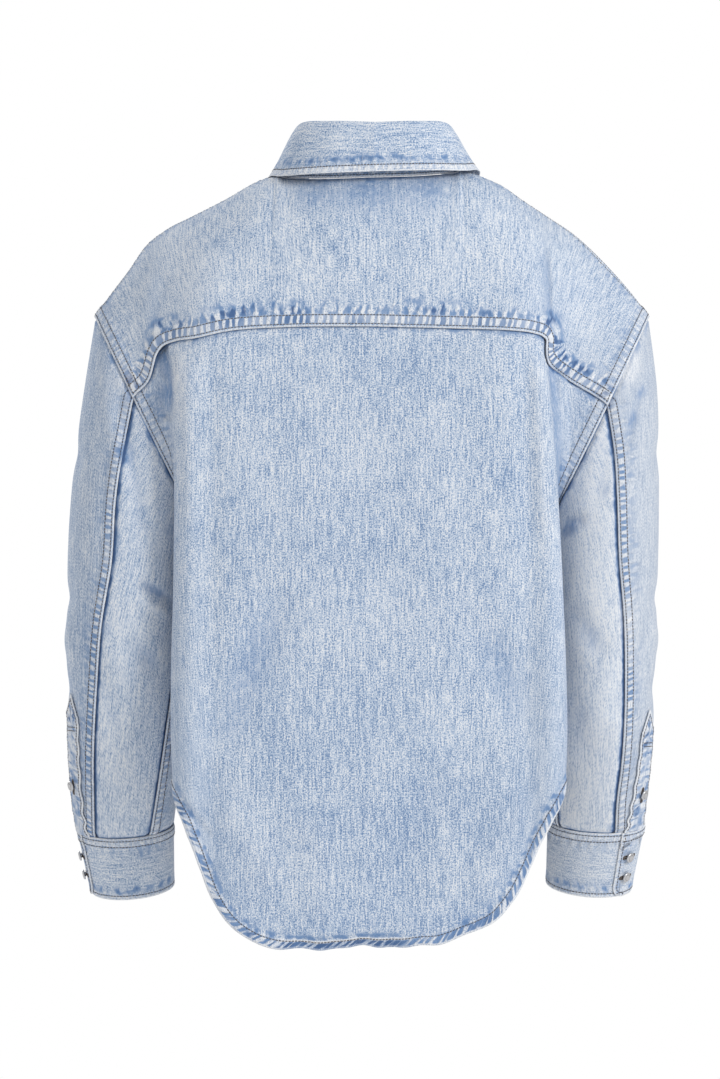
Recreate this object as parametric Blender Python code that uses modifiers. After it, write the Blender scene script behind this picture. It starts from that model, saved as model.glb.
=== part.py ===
"""A shirt jacket in heavy washed denim, hollow as it is worn and buttoned from the neck to the hem.

Every cloth piece is a panel: a grid of points on the garment's own surface, given its wall by Solidify.
The surface comes from short tables of sections. Lengths in the tables are millimetres and are made
metres once, when a panel's points go into its mesh. +Z is up, the wearer's left is +X and the front
faces -Y. The origin is the middle of the neck opening, level with the back neck seam.
"""

import bpy
import numpy as np
from mathutils import Vector

MM = 0.001
POINT_MERGE = 0.00001

# Cloth and metal
WALL = 1.2
SEAM_GAP = 0.3
LAP_GAP = 0.5
DENIM_COLOUR = (0.46, 0.53, 0.65)
DENIM_ROUGHNESS = 0.9
METAL_COLOUR = (0.72, 0.72, 0.72)
METAL_ROUGHNESS = 0.3

# Armhole: an ellipse in a plane that leans out towards the shoulder
ARMHOLE_HALF_DEPTH = 62.0
ARMHOLE_MIDDLE_Z = -236.0
ARMHOLE_HALF_HEIGHT = 105.0
ARMHOLE_LEAN_X = 51.0
ARMHOLE_MIDDLE_X = {"left": 214.0, "right": 218.0}
YOKE_APEX_DEG = {"left": 76.0, "right": 80.0}

# Where the neck point falls along the top edges, as a share of the way from the middle to the armhole
YOKE_NECK_SHARE = 0.32
FRONT_NECK_SHARE = 0.38
NECK_POINT = 0.5

# Columns and rows of the panels' grids
NECK_COLUMNS = 4
FRONT_NECK_COLUMNS = 5
SHOULDER_COLUMNS = 7
YOKE_ROWS = 6
ARMHOLE_BACK_ROWS = 7
ARMHOLE_FRONT_ROWS = 5
SIDE_ROWS = 9
SLEEVE_ROWS = 14
LAST_RING = 8.0
PLACKET_COLUMNS = 3
CUFF_COLUMNS = 26
CUFF_ROWS = 3
STAND_COLUMNS = 13
STAND_ROWS = 3
FALL_COLUMNS = 13
SLEEVE_PLACKET_COLUMNS = 4
SLEEVE_PLACKET_ROWS = 8

# Collar, cuffs, plackets
COLLAR_TILT = -0.03
COLLAR_SHIFT_X = -4.0
COLLAR_ROLL = 9.0
ROLL_OUT = 5.0
ROLL_DROP = 5.0
STAND_LAP = 0.07
STAND_LAP_FROM = 0.8
STAND_SIZE = 0.97
NECK_MIDDLE = np.array([0.0, -10.0, 0.0])
# Where the fall leaves the stand, passes its crest, rounds over and ends, and the rows between
FALL_STATIONS = (0.0, 0.16, 0.36, 1.0)
FALL_ROWS = (0.0, 0.08, 0.16, 0.26, 0.36, 0.6, 0.8, 1.0)
PLACKET_HALF_WIDTH = 17.0
UNDERLAP_DROP = 2.6
UNDERLAP_REACH = 0.8
UNDERLAP_SPREAD = (0.08, 0.2)
CUFF_HEIGHT = 62.0
CUFF_LAP_DEG = 34.0
CUFF_CORNER_DEG = 6.0
CUFF_CORNER_FROM = 0.6
CUFF_END_DEG = {"left": 27.0, "right": 60.0}
SLEEVE_PLACKET_LENGTH = {"left": 140.0, "right": 124.0}
SLEEVE_PLACKET_HALF_WIDTH = 13.0
SLEEVE_PLACKET_POINT = 17.0
PLACKET_RING = 5.0
PLACKET_FOOT = 0.03
PLACKET_LIFT = 1.0
PLACKET_BUTTON_ROW = {"left": 0.568, "right": 0.615}
SLEEVE_PLACKET_POINT_DEG = {"left": 28.0, "right": 31.0}
SLEEVE_PLACKET_FOOT_DEG = {"left": 23.0, "right": 38.0}

# Buttons
BUTTON_RADIUS = 5.0
BUTTON_HEIGHT = 3.6
BUTTON_STEPS = 14
# Half the outline of a domed shank button, from the middle of its face to the foot of its shank,
# as shares of its radius and its height
BUTTON_PROFILE = (
    (0.0, 1.0), (0.42, 0.97), (0.76, 0.84), (0.97, 0.64), (1.0, 0.52), (0.93, 0.42), (0.5, 0.38),
    (0.42, 0.0), (0.0, 0.0),
)
FRONT_BUTTONS = 7
FRONT_BUTTON_TOP_Z = -118.0
FRONT_BUTTON_PITCH = 88.0
CUFF_BUTTON_PITCH = 19.0
CUFF_BUTTON_MIDDLE = {"left": 0.53, "right": 0.54}
CUFF_BUTTON_INSET_DEG = 17.0
FRONT_BUTTON_SIZE = 1.36

# Shares of the way round a body section where its named points lie: the mirrored middle point, the
# middle, between, rounding, corner, turn and edge
SECTION_STATIONS = (-0.30, 0.0, 0.30, 0.55, 0.72, 0.86, 1.0)
MIDDLE_SHARE = 0.46
SHOULDER_SHARE = 0.83
# How far the cloth falls back from its middle: beside it, and as a share of the way to the corner
MIDDLE_SAG = 1.0
ROUNDING = 0.24
# Where along the yoke and the fronts the cloth starts to turn to the armhole
ARMHOLE_TURN = (0.6, 1.0)

# The level on a front where the rounding of the shoulder ends
FRONT_UPPER_Z = -175.0

# How far each edge is drawn back from its seam line: more where two walls lean into each other
EDGE = SEAM_GAP / 2
SLEEVE_EDGE = 0.35
SHOULDER_EDGE = 0.5
ARMHOLE_EDGE = 0.6
STAND_RISE = 0.9

SIGN = {"left": 1.0, "right": -1.0}
LEVEL = np.array([1.0, 1.0, 0.0])
UPRIGHT = np.array([0.0, 0.0, 1.0])


class Table:
    """Rows of named columns. The first is the station, and the others are smooth curves over it."""

    def __init__(self, names, rows):
        order = sorted(rows)
        self.columns = dict(zip(names.split(), np.array(order, float).T))
        self.stations = np.array(order, float)[:, 0]

    def at(self, name, station):
        return along(self.stations, self.columns[name], station)


def along(stations, values, at):
    """A cubic curve through the values at their stations, with each tangent from both neighbours."""
    stations = np.asarray(stations, float)
    at = np.asarray(at, float)
    values = np.asarray(values, float)
    values = values.reshape(values.shape + (1,) * (at.ndim + 1 - values.ndim))
    values = np.broadcast_to(values, (len(stations),) + at.shape)
    step = np.diff(stations).reshape((-1,) + (1,) * at.ndim)
    slope = np.diff(values, axis=0) / step
    inner = (slope[:-1] * step[1:] + slope[1:] * step[:-1]) / (step[1:] + step[:-1])
    tangent = np.concatenate([slope[:1], inner, slope[-1:]])
    cell = np.clip(np.searchsorted(stations, at, side="right") - 1, 0, len(stations) - 2)

    def pick(array, index):
        return np.take_along_axis(array, index[None], axis=0)[0]

    width = stations[cell + 1] - stations[cell]
    t = (at - stations[cell]) / width
    start, end = pick(values, cell), pick(values, cell + 1)
    start_slope, end_slope = pick(tangent, cell) * width, pick(tangent, cell + 1) * width
    return (
        start * (1 + 2 * t) * (1 - t) ** 2
        + start_slope * t * (1 - t) ** 2
        + end * t * t * (3 - 2 * t)
        + end_slope * t * t * (t - 1)
    )


def ramp(low, high, value):
    """0 below low, 1 above high, and a smooth S between."""
    t = np.clip((np.asarray(value, float) - low) / (high - low), 0.0, 1.0)
    return t * t * (3 - 2 * t)


# ---------------------------------------------------------------------------------- section tables

BACK = {
    "left": Table(
        "z back_y corner_x corner_y turn_x turn_y side_x",
        [
            (-130, 100, 203, 68, 238, 46, 163),
            (-160, 102, 196, 76, 222, 62, 163),
            (-193, 103, 187, 80, 207, 68, 163),
            (-223, 103, 185, 79, 200, 64, 163),
            (-260, 102, 185, 77, 192, 62, 163),
            (-300, 102, 186, 75, 181, 54, 163),
            (-340, 101, 187, 72, 168.5, 35, 163),
            (-400, 99, 188, 70, 170, 34, 154),
            (-470, 98, 190, 70, 170, 34, 152),
            (-540, 99, 190, 72, 171, 36, 154),
            (-600, 101, 187, 74, 171, 38, 157),
            (-680, 104, 184, 76, 172, 40, 160),
            (-750, 106, 183, 78, 172, 40, 161),
        ],
    ),
    "right": Table(
        "z back_y corner_x corner_y turn_x turn_y side_x",
        [
            (-130, 100, 196, 70, 234, 46, 167),
            (-160, 102, 167, 82, 187, 60, 167),
            (-193, 103, 166, 84, 182, 62, 167),
            (-223, 103, 171, 82, 186, 62, 167),
            (-260, 102, 175, 80, 186, 62, 167),
            (-300, 102, 178, 76, 178, 54, 167),
            (-340, 101, 181, 72, 169, 35, 167),
            (-400, 99, 184, 70, 166, 34, 153),
            (-470, 98, 187, 70, 166, 34, 150),
            (-540, 99, 188, 72, 167, 36, 151),
            (-600, 101, 185, 74, 168, 38, 154),
            (-680, 104, 182, 76, 169, 40, 157),
            (-750, 106, 181, 78, 170, 40, 158),
        ],
    ),
}

FRONT = Table(
    "z front_y corner_x corner_y turn_x turn_y",
    [
        (-130, -106, 190, -60, 232, -42),
        (-175, -113, 184, -72, 214, -60),
        (-223, -118, 178, -79, 198, -64),
        (-260, -120, 176, -81, 190, -62),
        (-300, -121, 175, -80, 180, -54),
        (-340, -121, 174, -78, 166, -36),
        (-400, -119, 173, -77, 165, -34),
        (-470, -116, 172, -77, 163, -34),
        (-540, -114, 173, -78, 163, -36),
        (-600, -113, 174, -80, 164, -38),
        (-720, -112, 176, -82, 166, -40),
    ],
)

YOKE_SEAM = {
    "left": Table(
        "around z",
        [
            (0.0, -144.0), (0.24, -144.5), (0.43, -148.0), (0.56, -155.0), (0.66, -157.5),
            (0.73, -162.0), (0.78, -170.0), (0.83, -181.0), (0.88, -193.0), (1.0, -210.6),
        ],
    ),
    "right": Table(
        "around z",
        [
            (0.0, -144.0), (0.3, -146.0), (0.48, -147.5), (0.6, -150.0), (0.68, -153.5),
            (0.72, -158.0), (0.77, -174.0), (0.86, -192.0), (0.93, -206.0), (1.0, -217.8),
        ],
    ),
}

BACK_HEM = {
    "left": Table(
        "around z",
        [
            (0.0, -735), (0.2, -738), (0.315, -735), (0.41, -726), (0.465, -715), (0.52, -698),
            (0.56, -678), (0.61, -642), (0.65, -617), (0.72, -591), (0.85, -575), (1.0, -566),
        ],
    ),
    "right": Table(
        "around z",
        [
            (0.0, -735), (0.13, -734), (0.23, -730), (0.31, -724), (0.38, -716), (0.445, -704),
            (0.49, -688), (0.54, -666), (0.585, -641), (0.64, -615), (0.72, -587), (0.85, -574),
            (1.0, -566),
        ],
    ),
}

FRONT_HEM = Table(
    "around z",
    [(0.0, -706), (0.2, -705), (0.4, -694), (0.55, -661), (0.7, -616), (0.85, -583), (1.0, -566)],
)

# How straight the cloth falls from the neck and shoulder: 1 is straight and 0 a quarter of an ellipse
YOKE_FALL = Table(
    "around straightness", [(0.0, 0.5), (0.1, 0.42), (0.24, 0.15), (0.32, -0.12), (0.45, 0.0), (1.0, 0.0)]
)
FRONT_FALL = Table(
    "around straightness", [(0.0, 0.85), (0.2, 0.6), (0.38, 0.1), (0.5, 0.0), (1.0, 0.0)]
)

# Half of the neck seam, from centre back (0) by the neck point (0.5) to centre front (1)
NECK = Table(
    "around x y z",
    [
        (0.0, 0, 60, 0), (0.18, 44, 53, 0.5), (0.36, 79, 26, 4), (0.5, 89, -8, 7),
        (0.68, 77, -50, -20), (0.86, 42, -76, -60), (1.0, 0, -84, -79),
    ],
)

# The crest of the turned-down collar and its lower edge, round the same half of the neck
COLLAR = Table(
    "around crest_x crest_y crest_z edge_x edge_y edge_z",
    [
        (0.0, 0, 55, 52.5, 0, 76, 4), (0.18, 40, 48, 54, 51, 69, 4), (0.36, 70, 24, 53.5, 89, 40, 4.5),
        (0.5, 77, -6, 43, 101, 2, 7), (0.68, 69, -44, 15, 101, -51, -3), (0.86, 40, -72, -22, 81, -97, -68),
        (0.985, 5, -84, -44, 52, -113, -124),
    ],
)

SHOULDER = {
    "left": Table(
        "x z",
        [
            (89, 7), (109, 0), (141, -18), (170, -33), (198, -48), (217, -64), (232, -86),
            (249, -109), (265, -131),
        ],
    ),
    "right": Table(
        "x z",
        [
            (89, 7), (106, 1), (128, -8), (147, -21), (172, -37), (199, -55), (224, -78),
            (246, -102), (269, -131),
        ],
    ),
}

# Rings of each sleeve, from the armhole (0) to the cuff (8): the outermost and innermost points,
# the middle and half of the depth front to back, how far the ring leans, and where its seams run
SLEEVE = {
    "left": Table(
        "ring out_x out_z in_x in_z mid_y half_y lean back_seam inner_seam",
        [
            (0, 265.0, -131, 163.0, -341, 0, 62, 0, 76, 180),
            (1, 276.5, -203, 167.0, -355, 0, 67, 0, 75, 177),
            (2, 285.5, -269, 172.0, -377, -1, 69, 0, 75, 172),
            (3, 291.5, -340, 176.0, -411, -3, 69, 2, 76, 164),
            (4, 293.5, -415, 178.0, -454, -8, 66, 5, 67, 153),
            (5, 294.0, -488, 181.0, -503, -18, 61, 9, 62, 143),
            (6, 293.0, -545, 184.0, -550, -31, 54, 13, 58, 135),
            (7, 290.0, -594, 187.5, -592, -45, 46, 16, 55, 128),
            (8, 285.0, -631, 192.0, -626, -56, 35, 17, 50, 123),
        ],
    ),
    "right": Table(
        "ring out_x out_z in_x in_z mid_y half_y lean back_seam inner_seam",
        [
            (0, 269.0, -131, 167.0, -341, 0, 62, 0, 80, 180),
            (1, 277.5, -200, 169.5, -355, 0, 67, 0, 79, 178),
            (2, 279.5, -264, 171.0, -377, -1, 69, 0, 78, 175),
            (3, 279.5, -335, 172.0, -411, -3, 69, 2, 76, 170),
            (4, 278.0, -410, 172.5, -454, -8, 66, 5, 69, 163),
            (5, 276.5, -486, 173.0, -503, -18, 61, 9, 66, 157),
            (6, 275.0, -543, 173.5, -549, -31, 54, 13, 67, 152),
            (7, 271.5, -589, 173.0, -590, -45, 46, 16, 69, 148),
            (8, 268.0, -625, 174.0, -621, -56, 36, 17, 67, 145),
        ],
    ),
}

# The cuffs' top and bottom rings
CUFF = {
    "left": Table(
        "down out_x out_z in_x in_z mid_y half_y lean",
        [(0, 285, -631, 192, -626, -56, 35, 17), (1, 273, -692, 192, -685, -74, 34, 17)],
    ),
    "right": Table(
        "down out_x out_z in_x in_z mid_y half_y lean",
        [(0, 268, -625, 174, -621, -56, 36, 17), (1, 256, -689, 173, -683, -75, 35, 17)],
    ),
}


# ---------------------------------------------------------------------------------- garment surface


def stacked(x, y, z):
    return np.stack(np.broadcast_arrays(x, y, z), axis=-1).astype(float)


def armhole_point(side, degrees):
    """The armhole at an angle from the shoulder tip: 180 is the underarm, and the back is positive."""
    angle = np.radians(degrees)
    return stacked(
        ARMHOLE_MIDDLE_X[side] + ARMHOLE_LEAN_X * np.cos(angle),
        ARMHOLE_HALF_DEPTH * np.sin(angle),
        ARMHOLE_MIDDLE_Z + ARMHOLE_HALF_HEIGHT * np.cos(angle),
    )


def panel_edge(side, z, facing):
    """The panel's outer edge at a height: the armhole, and below the underarm the side seam."""
    cosine = np.clip((z - ARMHOLE_MIDDLE_Z) / ARMHOLE_HALF_HEIGHT, -1.0, 1.0)
    above = z > ARMHOLE_MIDDLE_Z - ARMHOLE_HALF_HEIGHT
    armhole_x = ARMHOLE_MIDDLE_X[side] + ARMHOLE_LEAN_X * cosine
    armhole_y = facing * ARMHOLE_HALF_DEPTH * np.sqrt(1 - cosine**2)
    return (
        np.where(above, armhole_x, BACK[side].at("side_x", z)),
        np.where(above, armhole_y, 0.0),
    )


def body_section(side, around, z, facing):
    """One half of the body's horizontal section, from its middle (0) to the panel's edge (1)."""
    z = np.asarray(z, float)
    table = BACK[side] if facing > 0 else FRONT
    middle_y = table.at("back_y" if facing > 0 else "front_y", z)
    corner_x, corner_y = table.at("corner_x", z), table.at("corner_y", z)
    turn_x, turn_y = table.at("turn_x", z), table.at("turn_y", z)
    edge_x, edge_y = panel_edge(side, z, facing)
    near_y = middle_y - facing * MIDDLE_SAG
    round_y = middle_y + ROUNDING * (corner_y - middle_y)
    xs = [
        -MIDDLE_SHARE * corner_x,
        0 * corner_x,
        MIDDLE_SHARE * corner_x,
        SHOULDER_SHARE * corner_x,
        corner_x,
        turn_x,
        edge_x,
    ]
    ys = [near_y, middle_y, near_y, round_y, corner_y, turn_y, edge_y]
    around = np.broadcast_to(around, z.shape)
    return stacked(
        along(SECTION_STATIONS, np.array(xs), around),
        along(SECTION_STATIONS, np.array(ys), around),
        z,
    )


def neck_point(side, around):
    """The neck seam: around runs from centre back (0) to centre front (1), and past 1 to the other side."""
    around = np.asarray(around, float)
    past = np.where(around > 1, 2 - around, around)
    x = NECK.at("x", past) * np.where(around > 1, -1, 1)
    z = NECK.at("z", past) + SIGN[side] * COLLAR_TILT * x
    return stacked(x, NECK.at("y", past), z)


def shoulder_point(side, share):
    """The shoulder seam from the neck point (0) to the shoulder tip (1)."""
    start, end = neck_point(side, NECK_POINT), armhole_point(side, 0.0)
    x = start[0] + (end[0] - start[0]) * np.asarray(share, float)
    lift = (start[2] - SHOULDER[side].at("z", start[0])) * (1 - np.asarray(share, float))
    return stacked(x, start[1] * (1 - share), SHOULDER[side].at("z", x) + lift)


def top_edge(side, around, neck_share, facing):
    """The upper edge of the yoke or of a front: the neck seam, and then the shoulder seam."""
    around = np.asarray(around, float)
    share = np.clip(around / neck_share, -1.0, 1.0)
    neck_at = NECK_POINT * share if facing > 0 else 1 - (1 - NECK_POINT) * share
    on_neck = neck_point(side, neck_at)
    on_shoulder = shoulder_point(side, np.clip((around - neck_share) / (1 - neck_share), 0, 1))
    return np.where((around <= neck_share)[..., None], on_neck, on_shoulder)


def over_shoulder(top, bottom, down, straightness):
    """Cloth that leaves the top edge level and reaches the bottom edge hanging, a quarter of an ellipse."""
    turn = np.pi / 2 * down
    out = np.sin(turn)
    drop = (1 - np.cos(turn)) * (1 - straightness) + down * straightness
    share = np.stack([down, out, drop], axis=-1)
    return top + (bottom - top) * share


def upper_panel(side, around, down, neck_share, facing, seam_z):
    """The yoke, or the part of a front as deep as the yoke."""
    apex_deg = YOKE_APEX_DEG[side]
    top = top_edge(side, around, neck_share, facing)
    bottom = body_section(side, around, seam_z, facing)
    straightness = (YOKE_FALL if facing > 0 else FRONT_FALL).at("straightness", np.abs(around))
    points = over_shoulder(top, bottom, down, straightness)
    edge_top, edge_bottom = armhole_point(side, 0.0), armhole_point(side, facing * apex_deg)
    plain = over_shoulder(edge_top, edge_bottom, down, np.zeros_like(down))
    true_edge = armhole_point(side, facing * apex_deg * down)
    return points + (true_edge - plain) * ramp(*ARMHOLE_TURN, around)[..., None] ** 2


def split_stations(breaks, counts):
    """Even stations between each pair of breaks, with each break once."""
    runs = [np.linspace(a, b, n + 1)[1:] for a, b, n in zip(breaks, breaks[1:], counts)]
    return np.concatenate([[breaks[0]], *runs])


def yoke_stations():
    return split_stations((0.0, YOKE_NECK_SHARE, 1.0), (NECK_COLUMNS, SHOULDER_COLUMNS))


def yoke_half(side):
    around, down = np.meshgrid(yoke_stations(), np.linspace(0, 1, YOKE_ROWS + 1))
    seam_z = YOKE_SEAM[side].at("z", around)
    return upper_panel(side, around, down, YOKE_NECK_SHARE, 1.0, seam_z)


def hanging_rows(top_z, hem_z, shares):
    """Heights from the top edge by the underarm line to the hem; shares run 0 to 1 and then 1 to 2."""
    underarm = ARMHOLE_MIDDLE_Z - ARMHOLE_HALF_HEIGHT
    upper = top_z + (underarm - top_z) * np.clip(shares, 0, 1)
    return upper + (hem_z - underarm) * np.clip(shares - 1, 0, 1)


def armhole_shares(apex_deg, rows):
    """How far down each armhole station lies between the apex and the underarm."""
    cosines = np.cos(np.radians(np.linspace(apex_deg, 180.0, rows + 1)))
    return (cosines[0] - cosines) / (cosines[0] + 1)


def panel_shares(side, armhole_rows):
    """A hanging panel's rows: from the apex to the underarm (1), and then evenly to the hem (2)."""
    below = np.linspace(1, 2, SIDE_ROWS + 1)[1:]
    return np.concatenate([armhole_shares(YOKE_APEX_DEG[side], armhole_rows), below])


def back_half(side):
    around, share = np.meshgrid(yoke_stations(), panel_shares(side, ARMHOLE_BACK_ROWS))
    z = hanging_rows(YOKE_SEAM[side].at("z", around), BACK_HEM[side].at("z", around), share)
    return body_section(side, around, z, 1.0)


def front_seam_z(side, around):
    """The level on a front where the shoulder's rounding ends: it drops to the armhole."""
    apex_z = armhole_point(side, YOKE_APEX_DEG[side])[2]
    return FRONT_UPPER_Z + (apex_z - FRONT_UPPER_Z) * ramp(*ARMHOLE_TURN, around)


def front_surface(side, columns):
    """A front's rows, from the neck and shoulder seams to the hem, at shares from centre front (0)."""
    around, down = np.meshgrid(columns, np.linspace(0, 1, YOKE_ROWS + 1))
    upper = upper_panel(side, around, down, FRONT_NECK_SHARE, -1.0, front_seam_z(side, around))
    shares = panel_shares(side, ARMHOLE_FRONT_ROWS)[1:]
    around, share = np.meshgrid(columns, shares)
    z = hanging_rows(front_seam_z(side, around), FRONT_HEM.at("z", np.abs(around)), share)
    return np.concatenate([upper, body_section(side, around, z, -1.0)])


def front_grid(side, inner_edge, drop):
    """A front from its middle edge, past centre front where it laps under, to the armhole."""
    breaks = (inner_edge, FRONT_NECK_SHARE, 1.0)
    columns = split_stations(breaks, (FRONT_NECK_COLUMNS, SHOULDER_COLUMNS))
    grid = front_surface(side, columns)
    under = drop * (1 - ramp(*UNDERLAP_SPREAD, np.abs(columns)))
    grid[..., 1] += under
    grid[0, :, 2] -= under
    return grid


def ring_point(table, station, degrees, outwards=0.0):
    """A ring of a sleeve or cuff: an ellipse from its outermost point (0 degrees) by the back (90)."""
    angle = np.radians(degrees)
    out_x, out_z = table.at("out_x", station), table.at("out_z", station)
    in_x, in_z = table.at("in_x", station), table.at("in_z", station)
    half_y, lean = table.at("half_y", station), np.radians(table.at("lean", station))
    width = np.hypot((out_x - in_x) / 2, (out_z - in_z) / 2)
    grow = 1 + outwards / width
    deep = 1 + outwards / half_y
    across, back = np.cos(angle) * grow, np.sin(angle) * deep
    return stacked(
        (out_x + in_x) / 2 + across * (out_x - in_x) / 2,
        table.at("mid_y", station) + back * half_y * np.cos(lean),
        (out_z + in_z) / 2 + across * (out_z - in_z) / 2 - back * half_y * np.sin(lean),
    )


def sleeve_outer_stations(side):
    """Angles of the outer sleeve's columns at the armhole: they meet the yoke's and the front's rows."""
    apex = YOKE_APEX_DEG[side]
    lower = -apex - (180.0 - apex) * np.linspace(0, 1, ARMHOLE_FRONT_ROWS + 1)[1:]
    return np.concatenate(
        [np.linspace(apex, 0, YOKE_ROWS + 1), np.linspace(0, -apex, YOKE_ROWS + 1)[1:], lower]
    )


def sleeve_outer(side):
    table = SLEEVE[side]
    at_armhole = sleeve_outer_stations(side)
    share = (at_armhole[0] - at_armhole) / (at_armhole[0] - at_armhole[-1])
    share, ring = np.meshgrid(share, np.linspace(0, LAST_RING, SLEEVE_ROWS + 1))
    start, end = table.at("back_seam", ring), table.at("inner_seam", ring) - 360.0
    return ring_point(table, ring, start + (end - start) * share)


def sleeve_under(side):
    table = SLEEVE[side]
    share, ring = np.meshgrid(
        np.linspace(0, 1, ARMHOLE_BACK_ROWS + 1), np.linspace(0, LAST_RING, SLEEVE_ROWS + 1)
    )
    start, end = table.at("back_seam", ring), table.at("inner_seam", ring)
    return ring_point(table, ring, start + (end - start) * share)


def cuff_grid(side):
    """A strip once round the wrist and on under its own lapped end."""
    share, down = np.meshgrid(np.linspace(0, 1, CUFF_COLUMNS + 1), np.linspace(0, 1, CUFF_ROWS + 1))
    at_end = 1 - np.clip(share * CUFF_COLUMNS, 0, 1)
    corner_deg = CUFF_CORNER_DEG * ramp(CUFF_CORNER_FROM, 1.0, down) * at_end
    degrees = CUFF_END_DEG[side] - corner_deg - (360.0 + CUFF_LAP_DEG) * share
    outwards = (WALL + LAP_GAP) * (0.5 - share)
    return ring_point(CUFF[side], down, degrees, outwards)


def stand_top(side, around):
    """The upper edge of the collar stand, a roll below the collar's crest and just inside it."""
    past = np.where(around > 1, 2 - around, around)
    flip = np.where(around > 1, -1, 1)
    x = COLLAR.at("crest_x", past) * flip * STAND_SIZE + SIGN[side] * COLLAR_SHIFT_X
    y = COLLAR.at("crest_y", past) * STAND_SIZE
    return stacked(x, y, COLLAR.at("crest_z", past) - COLLAR_ROLL)


# ---------------------------------------------------------------------------------- solids


def pulled_in(grid, left=0.0, right=0.0, top=0.0, bottom=0.0):
    """The grid with each edge moved in towards the next row or column by a distance."""
    grid = grid.copy()

    def towards(edge, inner, distance):
        step = inner - edge
        return edge + step / np.linalg.norm(step, axis=-1, keepdims=True) * distance

    if left:
        grid[:, 0] = towards(grid[:, 0], grid[:, 1], left)
    if right:
        grid[:, -1] = towards(grid[:, -1], grid[:, -2], right)
    if top:
        grid[0] = towards(grid[0], grid[1], top)
    if bottom:
        grid[-1] = towards(grid[-1], grid[-2], bottom)
    return grid


def mirrored(grid, side):
    return grid * np.array([SIGN[side], 1.0, 1.0])


def whole(left, right):
    """The wearer's right half, turned over, and the left half, as one grid with its middle column once."""
    return np.concatenate([mirrored(right, "right")[:, ::-1], left[:, 1:]], axis=1)


def grid_normals(grid):
    """Unit normals of a grid's points, from the steps along its rows and columns."""
    across = np.gradient(grid, axis=1)
    down = np.gradient(grid, axis=0)
    normal = np.cross(across, down)
    return normal / np.linalg.norm(normal, axis=-1, keepdims=True)


def grid_triangles(grid):
    """Two triangles for each cell, split along the diagonal that stands further out."""
    rows, columns = grid.shape[:2]
    index = np.arange(rows * columns).reshape(rows, columns)
    a, b = index[:-1, :-1].ravel(), index[:-1, 1:].ravel()
    d, c = index[1:, :-1].ravel(), index[1:, 1:].ravel()
    points = grid.reshape(-1, 3)
    normal = np.cross(points[c] - points[a], points[d] - points[b])
    falling_out = ((points[a] + points[c] - points[b] - points[d]) * normal).sum(axis=1) > 0
    first = np.where(falling_out[:, None], np.stack([a, b, c], 1), np.stack([a, b, d], 1))
    second = np.where(falling_out[:, None], np.stack([a, c, d], 1), np.stack([b, c, d], 1))
    return np.concatenate([first, second])


def material(name, colour, roughness, metallic=0.0):
    made = bpy.data.materials.new(name)
    made.use_nodes = True
    shader = made.node_tree.nodes["Principled BSDF"]
    shader.inputs["Base Color"].default_value = (*colour, 1.0)
    shader.inputs["Roughness"].default_value = roughness
    shader.inputs["Metallic"].default_value = metallic
    return made


def start_scene():
    for old in list(bpy.data.objects):
        bpy.data.objects.remove(old, do_unlink=True)
    collection = bpy.data.collections.new("shirt_jacket")
    bpy.context.scene.collection.children.link(collection)
    return collection


JACKET = start_scene()


def cloth(name, grid):
    """A panel: the grid as quads, with its wall on the inner side."""
    mesh = bpy.data.meshes.new(name)
    mesh.from_pydata((grid.reshape(-1, 3) * MM).tolist(), [], grid_triangles(grid).tolist())
    mesh.materials.append(material(f"{name}_denim", DENIM_COLOUR, DENIM_ROUGHNESS))
    panel = bpy.data.objects.new(name, mesh)
    JACKET.objects.link(panel)
    wall = panel.modifiers.new("wall", "SOLIDIFY")
    wall.thickness = WALL * MM
    wall.offset = -1.0
    mesh.shade_smooth()
    return panel


def point_on(grid, row, column):
    """A place on a panel, from fractional rows and columns, and the panel's normal there."""
    i = min(int(row), grid.shape[0] - 2)
    j = min(int(column), grid.shape[1] - 2)
    f, g = row - i, column - j
    corners = grid[i : i + 2, j : j + 2]
    top = corners[0, 0] * (1 - g) + corners[0, 1] * g
    low = corners[1, 0] * (1 - g) + corners[1, 1] * g
    across = corners[:, 1].sum(axis=0) - corners[:, 0].sum(axis=0)
    down = corners[1].sum(axis=0) - corners[0].sum(axis=0)
    normal = np.cross(across, down)
    return top * (1 - f) + low * f, normal / np.linalg.norm(normal)


def hollow_axis(grid):
    """The body's upright axis beside each point of a grid."""
    return grid * UPRIGHT


def ring_axis(side, stations, table):
    """The middle of each ring of a sleeve or cuff, mirrored to its side."""
    middle = (ring_point(table, stations, 0.0) + ring_point(table, stations, 180.0)) / 2
    return mirrored(middle, side)[:, None, :]


def facing_out(grid, about):
    """The grid with its columns in the order that turns its faces away from what it goes about."""
    outwards = (grid_normals(grid) * (grid - about)).sum() > 0
    return grid if outwards else grid[:, ::-1]


def body_panel(name, grid):
    return cloth(name, facing_out(grid, hollow_axis(grid)))


def make_back():
    grid = whole(back_half("left"), back_half("right"))
    grid = pulled_in(grid, left=ARMHOLE_EDGE, right=ARMHOLE_EDGE, top=EDGE)
    body_panel("back_panel", grid)


def make_yoke():
    grid = whole(yoke_half("left"), yoke_half("right"))
    grid = pulled_in(grid, left=ARMHOLE_EDGE, right=ARMHOLE_EDGE, top=SHOULDER_EDGE, bottom=EDGE)
    body_panel("back_yoke", grid)


def front_share(side, width, z):
    """How far round a front a width from centre front is."""
    return width / (MIDDLE_SHARE * float(FRONT.at("corner_x", z))) * SECTION_STATIONS[2]


def make_fronts():
    over_edge = front_share("left", PLACKET_HALF_WIDTH, FRONT_UPPER_Z)
    left = mirrored(front_grid("left", over_edge, 0.0), "left")
    right = mirrored(front_grid("right", -UNDERLAP_REACH * over_edge, UNDERLAP_DROP), "right")
    left = pulled_in(left, left=EDGE, right=ARMHOLE_EDGE, top=SHOULDER_EDGE)
    right = pulled_in(right, right=ARMHOLE_EDGE, top=SHOULDER_EDGE)
    body_panel("front_left", left)
    body_panel("front_right", right)


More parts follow.
